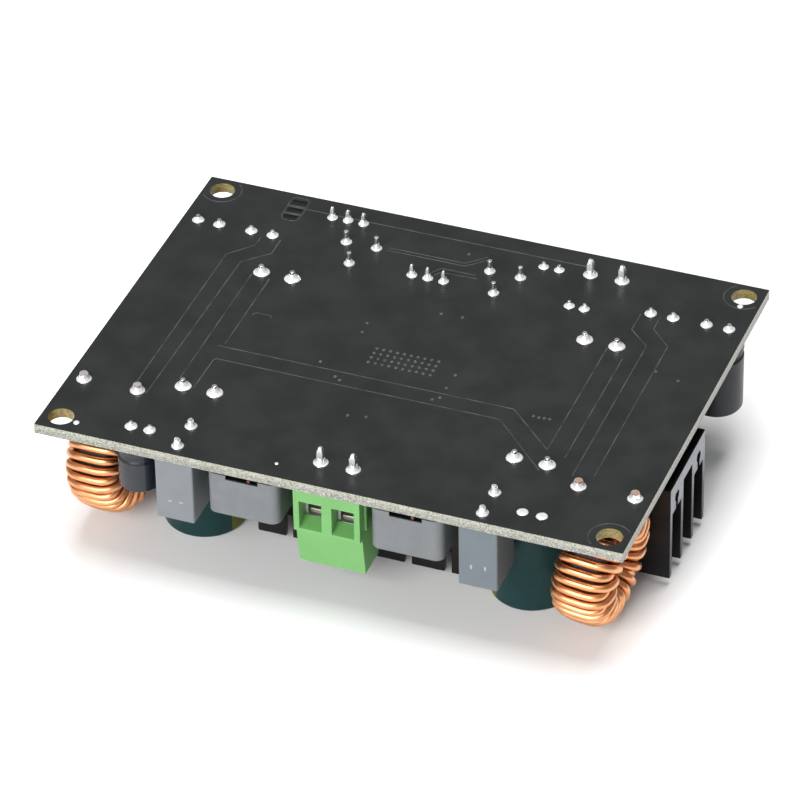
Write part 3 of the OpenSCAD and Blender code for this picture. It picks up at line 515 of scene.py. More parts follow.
@dataclass(frozen=True)
class LeggedFinish(Finish):
    """A moulded body, with tinned legs from the board's part side up."""

    leg: Colour = (0.66, 0.66, 0.65)
    body_metal: float = 0.0

    def legs(self, graph: Graph, place: Value) -> Socket:
        """Returns 1 on the legs and 0 on the body."""
        return graph.math("GREATER_THAN", graph.parts(place)[2], -BOARD_T * MM)

    def tone(self, graph: Graph, place: Value) -> Value:
        """Returns the body's colour, and the tin's on the legs."""
        return graph.mix(self.legs(graph, place), super().tone(graph, place), self.leg)

    def metal(self, graph: Graph, place: Value) -> Value:
        """Returns how far the surface is metal, which the legs are all through."""
        return graph.math("MAXIMUM", self.legs(graph, place), self.body_metal)


@dataclass(frozen=True)
class FilmFinish(LeggedFinish):
    """A film capacitor's box, with two faint pale spots on its front."""

    marks: tuple[Place, ...] = ()
    mark_half: Pair = (0.34, 0.16)
    mark_blur: Pair = (0.6, 1.3)
    front: float = -32.0
    pale: Colour = (0.3, 0.31, 0.31)

    def tone(self, graph: Graph, place: Value) -> Value:
        """Colours the box and its marks, each a place across and up the front.

        Args:
            graph: The material's tree.
            place: The place on the box.

        Returns:
            The colour.
        """
        colour = super().tone(graph, place)
        x, y, z = graph.parts(place)
        ahead = graph.math("LESS_THAN", y, self.front * MM)
        for across, up in self.marks:
            wide = graph.over(graph.less(x, across * MM), self.mark_half[0] * MM)
            tall = graph.over(graph.less(z, up * MM), self.mark_half[1] * MM)
            far = graph.vector("LENGTH", graph.joined(wide, tall, 0.0))
            on = graph.times(graph.less(1.0, graph.share(far, *self.mark_blur)), ahead)
            colour = graph.mix(on, colour, self.pale)
        return colour


@dataclass(frozen=True)
class ShieldFinish(Finish):
    """A choke's coated ferrite, with painted shade, near black, inside the gap by the board."""

    # The near-black colour inside the gap is painted shade, where the board keeps the light out, not the
    # ferrite's own colour.
    bare: Colour = (0.004, 0.004, 0.005)
    low: Place = (0.0, 0.0)
    high: Place = (0.0, 0.0)
    wall: Pair = (1.6, 0.22)
    gap_floor: float = -3.6

    def tone(self, graph: Graph, place: Value) -> Value:
        """Colours the coat, and paints shade, near black, inside the gap.

        Args:
            graph: The material's tree.
            place: The place on the shield.

        Returns:
            The colour.
        """
        x, y, z = graph.parts(place)
        inside = graph.math("GREATER_THAN", z, self.gap_floor * MM)
        for along, low, high, wall in zip((x, y), self.low, self.high, self.wall):
            inside = graph.times(
                inside, graph.math("GREATER_THAN", along, (low + wall) * MM),
                graph.math("LESS_THAN", along, (high - wall) * MM))
        # Inside the gap, the coat gives way to painted shade.
        return graph.mix(inside, super().tone(graph, place), self.bare)


@dataclass(frozen=True)
class MouldedFinish(Finish):
    """A moulded plastic that lets a little light into its skin, its own colour deepest."""

    weight: float = 0.4
    depth: float = 1.2
    reach: Colour = (0.6, 1.0, 0.5)

    def extras(self, graph: Graph, place: Value) -> dict[str, Value]:
        """Returns how the light goes into the skin."""
        labels = ("Subsurface Weight", "Subsurface Scale", "Subsurface Radius")
        return dict(zip(labels, (self.weight, self.depth * MM, self.reach)))


@dataclass(frozen=True)
class LampFinish(LeggedFinish):
    """Tinted clear resin on tinned legs."""

    clear: float = 0.55

    def extras(self, graph: Graph, place: Value) -> dict[str, Value]:
        """Returns how far light goes through the resin."""
        return {"Transmission Weight": graph.times(graph.less(1.0, self.legs(graph, place)), self.clear)}


MASK = MaskFinish(
    "mask_black", (0.018, 0.0205, 0.02), 0.3, specular=0.22, mottle=0.2, mottle_size=7.0, smudge=0.05,
    grain=0.2, grain_size=0.35)
COPPER_EDGE = Finish(
    "mask_over_edge", (0.052, 0.056, 0.056), 0.4, specular=0.3, mottle=0.5, mottle_size=2.5)
TENTED_VIA = Finish("mask_over_via", (0.056, 0.06, 0.06), 0.35, mottle=0.5, mottle_size=0.6)
BARE_WINDOW = Finish(
    "mask_over_laminate", (0.008, 0.009, 0.008), 0.5, specular=0.08, mottle=0.4, mottle_size=0.8)
SOLDER = Finish(
    "solder_bright", (0.95, 0.95, 0.95), 0.24, metallic=0.55, mottle=0.1, mottle_size=0.8, smudge=0.14,
    grain=0.35, grain_size=0.3)
TINNED = Finish(
    "tinned_lead", (0.56, 0.56, 0.56), 0.28, metallic=1.0, mottle_size=0.8, smudge=0.1)
ANODISED = AnodisedFinish(
    "anodised_black", (0.005, 0.005, 0.0055), 0.42, metallic=0.1, specular=0.25, grain=0.3, grain_size=0.25)
SOFT_PAD = Finish("pad_grey", (0.5, 0.52, 0.55), 0.8, mottle=0.08)
CHIP_CASE = Finish("chip_black", (0.02, 0.02, 0.021), 0.55, grain=0.3, grain_size=0.12)
CHIP_CERAMIC = Finish("ceramic_tan", (0.42, 0.31, 0.2), 0.5, mottle=0.15, mottle_size=1.0)
CAN = Finish("can_aluminium", (0.74, 0.75, 0.76), 0.3, metallic=1.0, mottle=0.06, smudge=0.1)
CORE = Finish("core_dark", (0.02, 0.018, 0.017), 0.6, grain=0.4)
CHOKE_WIRE = WireFinish(
    "wire_in_choke", (0.12, 0.04, 0.015), 0.5, metallic=0.3, mottle=0.2, mottle_size=0.6)
DARK_FERRITE = Finish("ferrite_dark", (0.006, 0.006, 0.007), 0.7, specular=0.15, grain=0.3)
TERMINAL_GREEN = MouldedFinish(
    "terminal_green", (0.13, 0.335, 0.1), 0.42, mottle=0.05, mottle_size=4.0, smudge=0.05, grain=0.15,
    grain_size=0.12)
CONTACT = LeggedFinish(
    "contact_tinned", (0.36, 0.34, 0.28), 0.36, mottle=0.2, mottle_size=0.8, smudge=0.1, body_metal=0.9)
PLATED = Finish(
    "plated_steel", (0.5, 0.46, 0.37), 0.4, metallic=0.9, mottle=0.2, mottle_size=0.8, smudge=0.1)
HEADER_BLACK = Finish("header_black", (0.016, 0.016, 0.017), 0.5, grain=0.2)
TRIMMER_BLUE = LeggedFinish("trimmer_blue", (0.02, 0.07, 0.3), 0.4, grain=0.15)
ROTOR_CREAM = Finish("rotor_cream", (0.72, 0.68, 0.58), 0.5, mottle=0.06, grain=0.15)
LAMP = LampFinish("lamp_red", (0.7, 0.09, 0.06), 0.15, mottle=0.05)
FLOOR = Finish(
    "floor_white", (0.9, 0.9, 0.9), 0.75, specular=0.2, mottle=0.004, mottle_size=60.0, smudge=0.02,
    grain=0.0)


class Recipe(Graph):
    """A Geometry Nodes tree with named inputs, which runs once on a carrier and leaves a plain mesh."""

    def __init__(self, name: str) -> None:
        """Makes the tree, with a geometry going in and one coming out.

        Args:
            name: The tree's name.
        """
        super().__init__(bpy.data.node_groups.new(name, "GeometryNodeTree"))
        for way in ("INPUT", "OUTPUT"):
            self.tree.interface.new_socket("Geometry", in_out=way, socket_type="NodeSocketGeometry")
        self.entry = self.tree.nodes.new("NodeGroupInput")
        self.exit = self.tree.nodes.new("NodeGroupOutput")
        self.values: dict[str, object] = {}

    def given(self, label: str, value: object, kind: str = "NodeSocketFloat") -> Socket:
        """Adds a named input.

        Args:
            label: The input's name.
            value: What the modifier gives it.
            kind: Blender's name for the socket's class.

        Returns:
            The socket inside the tree that carries the value, the same one for a name used before.
        """
        if label not in self.entry.outputs:
            socket = self.tree.interface.new_socket(label, in_out="INPUT", socket_type=kind)
            self.values[socket.identifier] = value
        return self.entry.outputs[label]

    def geometry(self) -> Socket:
        """Returns the carrier's geometry."""
        return self.entry.outputs["Geometry"]

    def named(self, label: str, kind: str = "FLOAT") -> Socket:
        """Returns an attribute that the carrier's points hold."""
        return self.made("GeometryNodeInputNamedAttribute", {"Name": label}, "Attribute", data_type=kind)

    def kept(self, geometry: Value, label: str, value: Value) -> Socket:
        """Returns the geometry with a vector kept on its points under a name."""
        entries = {"Name": label, "Geometry": geometry, "Value": value}
        return self.made("GeometryNodeStoreNamedAttribute", entries, data_type="FLOAT_VECTOR", domain="POINT")

    def moved(self, geometry: Value, place: Value, which: Value = True) -> Socket:
        """Returns the geometry with its points, or only some of them, put at a place."""
        entries = {"Geometry": geometry, "Selection": which, "Position": place}
        return self.made("GeometryNodeSetPosition", entries)

    def swept(self, curve: Value, profile: Value) -> Socket:
        """Returns a profile swept along a curve, with its ends closed."""
        entries = {"Curve": curve, "Profile Curve": profile, "Fill Caps": True}
        return self.made("GeometryNodeCurveToMesh", entries)

    def circle(self, radius: Value, sides: int) -> Socket:
        """Returns a circle as a curve."""
        return self.made("GeometryNodeCurvePrimitiveCircle", {"Resolution": sides, "Radius": radius})

    def strung(self, mesh: Value) -> Socket:
        """Returns a mesh's edges as curves."""
        return self.made("GeometryNodeMeshToCurve", {"Mesh": mesh})

    def repeated(self, mesh: Value, instance: Value) -> Socket:
        """Returns an instance on each of a mesh's points."""
        points = self.made("GeometryNodeMeshToPoints", {"Mesh": mesh})
        return self.made("GeometryNodeInstanceOnPoints", {"Points": points, "Instance": instance})

    def real(self, geometry: Value) -> Socket:
        """Returns the geometry with its instances made real."""
        return self.made("GeometryNodeRealizeInstances", {"Geometry": geometry})

    def run(self, name: str, carrier: bpy.types.Mesh, result: Value, finish: Finish) -> bpy.types.Mesh:
        """Ends the tree, runs it on a carrier and takes the plain mesh.

        Args:
            name: The new mesh's name.
            carrier: The mesh that goes in.
            result: The geometry that the tree makes.
            finish: The finish on it.

        Returns:
            The plain mesh.
        """
        paint = self.given("Finish", finish.material(), "NodeSocketMaterial")
        entries = {"Geometry": self.real(result), "Material": paint}
        self.put(self.exit.inputs["Geometry"], self.made("GeometryNodeSetMaterial", entries))
        holder = placed(name, carrier)
        modifier = holder.modifiers.new("Recipe", "NODES")
        modifier.node_group = self.tree
        for identifier, value in self.values.items():
            modifier[identifier] = value
        made = plain_mesh(holder, name)
        bpy.data.meshes.remove(carrier)
        return made


def placed(name: str, data: bpy.types.ID) -> bpy.types.Object:
    """Puts a new object into the scene.

    Args:
        name: The object's name.
        data: Its mesh, light or camera.

    Returns:
        The object.
    """
    item = bpy.data.objects.new(name, data)
    bpy.context.scene.collection.objects.link(item)
    return item


def plain_mesh(holder: bpy.types.Object, name: str) -> bpy.types.Mesh:
    """Takes what an object's modifiers make of it, and removes the object.

    Args:
        holder: The object.
        name: The new mesh's name.

    Returns:
        The plain mesh.
    """
    reach = bpy.context.evaluated_depsgraph_get()
    made = bpy.data.meshes.new_from_object(holder.evaluated_get(reach), depsgraph=reach)
    made.name = name
    bpy.data.objects.remove(holder)
    return made


def line_mesh(name: str, lines: Iterable[Sequence[Sequence[float]]]) -> bpy.types.Mesh:
    """Makes a mesh of lines.

    Args:
        name: The mesh's name.
        lines: Each line's points, in millimetres. A line of one point is a loose point.

    Returns:
        The mesh, which has only points and edges.
    """
    points: list[tuple[float, ...]] = []
    edges: list[tuple[int, int]] = []
    for line in lines:
        first = len(points)
        points += [tuple(part * MM for part in point) for point in line]
        edges += [(index, index + 1) for index in range(first, len(points) - 1)]
    mesh = bpy.data.meshes.new(name)
    mesh.from_pydata(points, edges, [])
    return mesh


def stand_in(
        mesh: bpy.types.Mesh, nodes: Sequence[str] = (), body: str = BOARD_BODY) -> None:
    """Puts a finished mesh into the scene as a piece of the object.

    Args:
        mesh: The mesh, in place.
        nodes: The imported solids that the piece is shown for.
        body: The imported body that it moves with.
    """
    piece = placed(mesh.name, mesh)
    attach(piece, body)
    if nodes:
        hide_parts(*nodes)
    LOG.info("%s: %d faces", piece.name, len(mesh.polygons))


def smooth_by_angle(mesh: bpy.types.Mesh, degrees: float) -> None:
    """Shades a mesh smoothly except along edges that turn by more than an angle."""
    mesh.shade_smooth()
    mesh.set_sharp_from_angle(angle=math.radians(degrees))


@dataclass(frozen=True)
class Solid:
    """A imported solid, its finish and the radius that its sharp edges are softened to, in millimetres."""

    node: str
    finish: Finish
    slot: str
    radius: float = 0.1
    body: str = BOARD_BODY
    bevel_steps: int = 3
    weld: float = 0.0005
    flat_turn: float = 1.0

    def build(self) -> None:
        """Makes a copy of the solid in one skin, with softened edges, and shows it in the solid's place."""
        holder = placed(self.node, self.skin())
        if self.radius > 0.0:
            soften = holder.modifiers.new("Soften", "BEVEL")
            soften.width = self.radius * MM
            soften.segments = self.bevel_steps
            soften.limit_method = "ANGLE"
            soften.angle_limit = math.radians(SHARP_TURN)
            soften.use_clamp_overlap = True
            soften.harden_normals = True
        mesh = plain_mesh(holder, f"{self.node}_shown")
        if self.radius <= 0.0:
            smooth_by_angle(mesh, SHARP_TURN)
        mesh.materials.clear()
        mesh.materials.append(self.finish.material())
        stand_in(mesh, (self.node,), self.body)

    def skin(self) -> bpy.types.Mesh:
        """Joins the solid's triangles into one skin, with flat areas as single faces.

        Returns:
            The mesh.
        """
        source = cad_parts[self.node].data
        mesh = bpy.data.meshes.new(f"{self.node}_skin")
        faces = [tuple(face.vertices) for face in source.polygons]
        mesh.from_pydata([point.co for point in source.vertices], [], faces)
        work = bmesh.new()
        work.from_mesh(mesh)
        bmesh.ops.remove_doubles(work, verts=work.verts, dist=self.weld * MM)
        bmesh.ops.dissolve_limit(
            work, angle_limit=math.radians(self.flat_turn), verts=work.verts, edges=work.edges,
            use_dissolve_boundaries=False)
        work.to_mesh(mesh)
        work.free()
        smooth_by_angle(mesh, SHARP_TURN)
        return mesh

    def dress(self) -> None:
        """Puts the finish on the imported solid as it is."""
        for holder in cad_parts[self.node].material_slots:
            holder.material = self.finish.material()
        LOG.info("%s: dressed", self.node)


def middle(node: str) -> Place:
    """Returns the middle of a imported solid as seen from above, in millimetres."""
    low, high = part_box(node)
    return (low.x + high.x) / (2.0 * MM), (low.y + high.y) / (2.0 * MM)


@dataclass(frozen=True)
class Joint:
    """A solder joint's sizes: the lead's width, the width of the solder's foot, and how high it climbs."""

    width: float
    foot: float
    climb: float
    domed: bool = False


@dataclass(frozen=True)
class Lead:
    """A lead that comes up through the board, and the solder joint that holds it."""

    x: float
    y: float
    joint: Joint


def lead_pair(centre: Place, pitch: float, joint: Joint, run: Run = Run.ACROSS) -> list[Lead]:
    """Makes the two leads of a part.

    Args:
        centre: The middle between them.
        pitch: The distance between them.
        joint: The solder joint on each.
        run: The way that they stand apart.

    Returns:
        The leads.
    """
    x, y = centre
    steps = (-pitch / 2.0, pitch / 2.0)
    spots = [(x + step, y) if run is Run.ACROSS else (x, y + step) for step in steps]
    return [Lead(*spot, joint) for spot in spots]


class SubAssembly:
    """A part of the board that is built on its own."""

    def leads(self) -> list[Lead]:
        """Returns no leads, as for a part that is held on the part side only."""
        return []

    def build(self) -> None:
        """Builds the part's pieces."""
        raise NotImplementedError


@dataclass
class CircuitBoard(SubAssembly):
    """The board: its mask, the copper edges and bare windows that show under it, and its vias."""

    edges: tuple[tuple[Place, ...], ...] = (
        ((-28.6, 21.4), (-28.6, 17.6), (-32.2, 14.1), (-32.6, -21.5)),
        ((-31.7, 21.0), (-31.7, 18.9), (-35.0, 15.2), (-35.0, -19.3)),
        ((-29.4, 11.7), (-29.4, -16.2)),
        ((-26.4, 11.4), (-26.4, -6.2)),
        ((-27.2, -6.9), (19.2, -7.0), (26.9, -14.5)),
        ((-26.6, -17.7), (-26.5, -10.0), (18.1, -10.0), (27.5, -19.5)),
        ((-28.0, 30.3), (17.2, 30.3)),
        ((-12.4, 25.0), (-0.2, 25.0), (2.5, 27.6)),
        ((-12.4, 24.3), (0.1, 24.3), (2.8, 26.9)),
        ((-4.1, 21.0), (-3.1, 22.6), (2.4, 22.6)),
        ((-3.5, 20.5), (-2.8, 21.6), (2.9, 21.8)),
        ((28.9, 21.5), (28.9, 17.3), (32.3, 14.1), (32.4, -19.2)),
        ((31.9, 22.0), (31.9, 18.5), (35.3, 15.0), (35.4, -18.1)),
        ((27.0, 11.7), (27.0, -14.4)),
        ((30.0, 10.0), (30.0, -15.5)),
        ((-25.3, 1.9), (-25.2, 2.7), (-22.6, 2.7), (-22.4, 2.1)),
    )
    pad_outline: tuple[Place, ...] = (
        (-29.6, 26.6), (-30.6, 26.9), (-31.0, 27.8), (-31.1, 32.0), (-30.6, 32.8),
        (-28.7, 32.8), (-28.1, 32.0), (-28.0, 27.8), (-28.4, 26.9), (-29.4, 26.6),
    )
    pad_bars: tuple[tuple[Place, ...], ...] = (
        ((-30.9, 30.5), (-28.2, 30.6)), ((-30.9, 30.2), (-28.2, 30.3)),
        ((-30.9, 28.6), (-28.2, 28.7)), ((-30.9, 28.3), (-28.2, 28.4)),
    )
    windows: tuple[tuple[Place, ...], ...] = (
        ((-30.7, 31.5), (-28.4, 31.6)), ((-30.7, 29.4), (-28.4, 29.5)), ((-30.6, 27.5), (-28.5, 27.6)),
    )
    ribbon: Pair = (0.18, 0.03)
    window: Pair = (1.15, 0.016)
    corner_r: float = 0.35
    hole_inset: float = 3.0
    ringed_corners: tuple[Place, ...] = ((1.0, -1.0), (-1.0, 1.0), (1.0, 1.0))
    clear_r: float = 3.05
    clear_turn: float = 12.0
    clear_steps: int = 8
    filled: tuple[Spot, ...] = ((-8.35, -30.69, 0.55), (-39.32, -31.36, 0.95), (42.2, 28.2, 0.95))
    fill_width: float = 0.2
    fill_rise: float = 0.22
    vias: tuple[Place, ...] = (
        (-8.5, 5.7), (-8.4, 3.4), (1.0, 11.6), (4.3, 11.8), (-11.5, -5.6), (8.3, -2.1), (8.2, -5.5),
        (-7.2, -8.9), (-8.1, -8.3), (7.2, -8.8), (8.1, -8.0), (-3.0, -16.5), (-0.3, -16.0), (22.4, -7.6),
        (23.3, -7.7), (24.1, -7.6), (24.9, -7.6), (35.6, 8.6), (39.4, 7.5), (-0.4, 27.4),
    )
    field_start: Place = (-4.85, -3.3)
    field_step: Place = (1.078, 1.18)
    field_columns: int = 10
    field_rows: int = 4
    via_r: float = 0.18
    via_sides: int = 18
    bead_share: float = 0.65
    bead_sides: int = 8
    bead_flat: float = 0.6

    def leads(self) -> list[Lead]:
        """Returns the vias that are filled with solder."""
        return [
            Lead(x, y, Joint(self.fill_width, size, self.fill_rise * size, True))
            for x, y, size in self.filled]

    def build(self) -> None:
        """Dresses the board, and builds the ribbons, the windows and the vias on it."""
        Solid("circuit_board", MASK, "board").dress()
        arcs = [self.clearance(*corner) for corner in self.ringed_corners]
        lines = (*self.edges, self.pad_outline, *self.pad_bars, *arcs)
        stand_in(self.ribbons("copper_edges", lines, self.ribbon, COPPER_EDGE))
        stand_in(self.ribbons("bare_windows", self.windows, self.window, BARE_WINDOW))
        stand_in(self.rings())

    def ribbons(
            self, name: str, lines: Iterable[Sequence[Place]], section: Pair, finish: Finish
    ) -> bpy.types.Mesh:
        """Sweeps a thin ribbon along each line on the board.

        Args:
            name: The mesh's name.
            lines: The lines' corners.
            section: The ribbon's width, and its height, half of which stands out of the board.
            finish: Its surface.

        Returns:
            The mesh.
        """
        recipe = Recipe("ribbons_on_lines")
        corner = recipe.given("Corner", self.corner_r * MM)
        entries = {"Curve": recipe.strung(recipe.geometry()), "Radius": corner, "Limit Radius": True}
        rounded = recipe.made("GeometryNodeFilletCurve", entries)
        level = recipe.made("GeometryNodeSetCurveNormal", {"Curve": rounded})
        sizes = {label: recipe.given(label, size * MM) for label, size in zip(("Width", "Height"), section)}
        profile = recipe.made("GeometryNodeCurvePrimitiveQuadrilateral", sizes)
        strings = [[(x, y, 0.0) for x, y in line] for line in lines]
        return recipe.run(name, line_mesh(f"{name}_lines", strings), recipe.swept(level, profile), finish)

    def clearance(self, x_hand: float, y_hand: float) -> list[Place]:
        """Draws the arc where the copper stops round a mounting hole, open towards the board's corner.

        Args:
            x_hand: -1 for a hole at the left and 1 for one at the right.
            y_hand: -1 for a hole at the front and 1 for one at the back.

        Returns:
            The arc's points.
        """
        x = x_hand * (BOARD_HIGH.x / MM - self.hole_inset)
        y = y_hand * (BOARD_HIGH.y / MM - self.hole_inset)
        inward = math.atan2(-y_hand, -x_hand)
        steps = range(-self.clear_steps, self.clear_steps + 1)
        turns = [inward + math.radians(step * self.clear_turn) for step in steps]
        return [(x + self.clear_r * math.cos(turn), y + self.clear_r * math.sin(turn)) for turn in turns]

    def rings(self) -> bpy.types.Mesh:
        """Puts a small ring on each via.

        Returns:
            The mesh.
        """
        (x, y), (x_step, y_step) = self.field_start, self.field_step
        field = [
            (x + column * x_step, y + row * y_step)
            for row in range(self.field_rows) for column in range(self.field_columns)]
        recipe = Recipe("rings_on_points")
        radius = recipe.given("Radius", self.via_r * MM)
        bead = recipe.circle(recipe.times(radius, self.bead_share), self.bead_sides)
        ring = recipe.swept(recipe.circle(radius, self.via_sides), bead)
        flat = recipe.made("GeometryNodeTransform", {"Geometry": ring, "Scale": (1.0, 1.0, self.bead_flat)})
        spots = line_mesh("via_points", [[(*via, 0.0)] for via in (*field, *self.vias)])
        mesh = recipe.run("tented_vias", spots, recipe.repeated(recipe.geometry(), flat), TENTED_VIA)
        mesh.shade_smooth()
        return mesh


@dataclass
class SolderField:
    """The solder on every lead: a flared skirt that climbs the lead, and its plug in the hole."""

    leads: list[Lead]
    seed: int = 7
    sides: int = 28
    rings: int = 12
    flare: float = 3.2
    fullness: Pair = (0.18, 0.42)
    climb_range: Pair = (0.9, 1.08)
    skin: float = 0.04
    uneven: float = 0.35
    uneven_size: float = 1.1
    lean: float = 0.15
    sharp_turn: float = 50.0

    def build(self) -> None:
        """Builds the joints, one skirt a lead."""
        stand_in(self.skirts(), ("solder_joints",))

    def carrier(self) -> bpy.types.Mesh:
        """Makes a point for each lead, with the joint's sizes on it.

        Returns:
            The mesh of points.
        """
        chance = random.Random(self.seed)
        mesh = line_mesh("lead_points", [[(lead.x, lead.y, 0.0)] for lead in self.leads])
        joints = [lead.joint for lead in self.leads]
        sizes = {
            "lead_r": [(joint.width / 2.0 + self.skin) * MM for joint in joints],
            "pad_r": [joint.foot / 2.0 * MM for joint in joints],
            "climb": [joint.climb * MM * chance.uniform(*self.climb_range) for joint in joints],
            "lean": [chance.uniform(-1.0, 1.0) for _ in joints],
            "full": [1.0 if joint.domed else chance.uniform(*self.fullness) for joint in joints],
        }
        for label, numbers in sizes.items():
            mesh.attributes.new(label, "FLOAT", "POINT").data.foreach_set("value", numbers)
        return mesh

    def skirts(self) -> bpy.types.Mesh:
        """Shapes an upright tube on each point into a skirt.

        Returns:
            The mesh.
        """
        recipe = Recipe("skirts_on_points")
        sizes = {"Vertices": self.sides, "Side Segments": self.rings, "Radius": 1.0, "Depth": 1.0}
        tube = recipe.made("GeometryNodeMeshCylinder", sizes)
        here = recipe.made("GeometryNodeInputPosition", {})
        points = recipe.kept(recipe.geometry(), "spot", here)
        tubes = recipe.real(recipe.repeated(points, recipe.kept(tube, "unit", here)))
        x, y, z = recipe.parts(recipe.named("unit", "FLOAT_VECTOR"))
        spot = recipe.named("spot", "FLOAT_VECTOR")
        first = 1.0 / self.rings
        rise = recipe.over(recipe.less(recipe.plus(z, 0.5), first), 1.0 - first)
        plug = recipe.math("LESS_THAN", rise, -first / 2.0)
        above = recipe.math("MAXIMUM", rise, 0.0)
        rest = recipe.less(1.0, above)
        lead_r, pad_r = recipe.named("lead_r"), recipe.named("pad_r")
        near = recipe.vector("ADD", spot, recipe.scaled(recipe.joined(x, y, 0.0), pad_r))
        swell = recipe.times(recipe.swing(near, self.uneven_size), recipe.given("Uneven", self.uneven))
        reach = recipe.times(recipe.less(pad_r, lead_r), recipe.plus(swell, 1.0))
        radius = recipe.plus(lead_r, recipe.times(reach, rest, recipe.less(1.0, plug)))
        tall = recipe.times(self.profile(recipe, above, rest), self.leaning(recipe, x))
        tall = recipe.less(tall, recipe.times(plug, recipe.given("Board", BOARD_T * MM)))
        local = recipe.joined(recipe.times(x, radius), recipe.times(y, radius), tall)
        made = recipe.moved(tubes, recipe.vector("ADD", spot, local))
        mesh = recipe.run("solder_skirts", self.carrier(), made, SOLDER)
        smooth_by_angle(mesh, self.sharp_turn)
        return mesh

    def profile(self, recipe: Recipe, above: Value, rest: Value) -> Socket:
        """Finds a skirt's height, between a hollow flare and a dome.

        Args:
            recipe: The tree.
            above: How far in from the foot, from 0 to 1.
            rest: How far out from the lead, from 0 to 1.

        Returns:
            The height in metres.
        """
        skirt = recipe.math("POWER", above, recipe.given("Flare", self.flare))
        dome = recipe.math("SQRT", recipe.less(1.0, recipe.times(rest, rest)))
        bulge = recipe.times(recipe.less(dome, skirt), recipe.named("full"))
        return recipe.times(recipe.named("climb"), recipe.plus(skirt, bulge))

    def leaning(self, recipe: Recipe, x: Value) -> Socket:
        """Returns the factor by which a skirt is higher on one side."""
        return recipe.plus(recipe.times(x, recipe.named("lean"), self.lean), 1.0)


@dataclass
class Heatsink(SubAssembly):
    """The finned extrusion, the chip that it cools and the small parts beside the chip."""

    radius: float = 0.12

    def build(self) -> None:
        """Builds the extrusion and dresses what it covers."""
        Solid("heatsink", ANODISED, "heatsink", self.radius).build()
        Solid("bonding_pad", SOFT_PAD, "bonding_pad").dress()
        Solid("amplifier_chip", CHIP_CASE, "chip_case").dress()
        Solid("chip_capacitors", CHIP_CERAMIC, "chip_ceramic").dress()


@dataclass(frozen=True)
class CapacitorKind:
    """What the capacitors of one kind share: name, material slot, lead pitch, joint and colours."""

    name: str
    slot: str
    pitch: float
    joint: Joint
    colour: Colour
    stripe: Colour


@dataclass
class Electrolytic(SubAssembly):
    """A capacitor in a can with a shrink sleeve, whose leads may stand a little aside from its middle."""

    kind: CapacitorKind
    tag: str
    stripe_turn: float
    aside: Place = (0.0, 0.0)
    can_radius: float = 0.12
    sleeve_radius: float = 0.05

    def can(self) -> str:
        """Returns the name of the can's node."""
        return f"{self.kind.name}_can{self.tag}"

    def leads(self) -> list[Lead]:
        """Returns the capacitor's two leads."""
        x, y = middle(self.can())
        return lead_pair((x + self.aside[0], y + self.aside[1]), self.kind.pitch, self.kind.joint)

    def build(self) -> None:
        """Builds the can and its sleeve."""
        sleeve = f"{self.kind.name}_sleeve{self.tag}"
        skin = SleeveFinish(
            f"{sleeve}_skin", self.kind.colour, 0.34, specular=0.2, mottle=0.08, mottle_size=2.0, smudge=0.05,
            grain_size=0.5, axis=middle(self.can()), stripe=self.kind.stripe, stripe_turn=self.stripe_turn)
        Solid(self.can(), CAN, "bare_aluminium", self.can_radius).build()
        Solid(sleeve, skin, self.kind.slot, self.sleeve_radius).build()


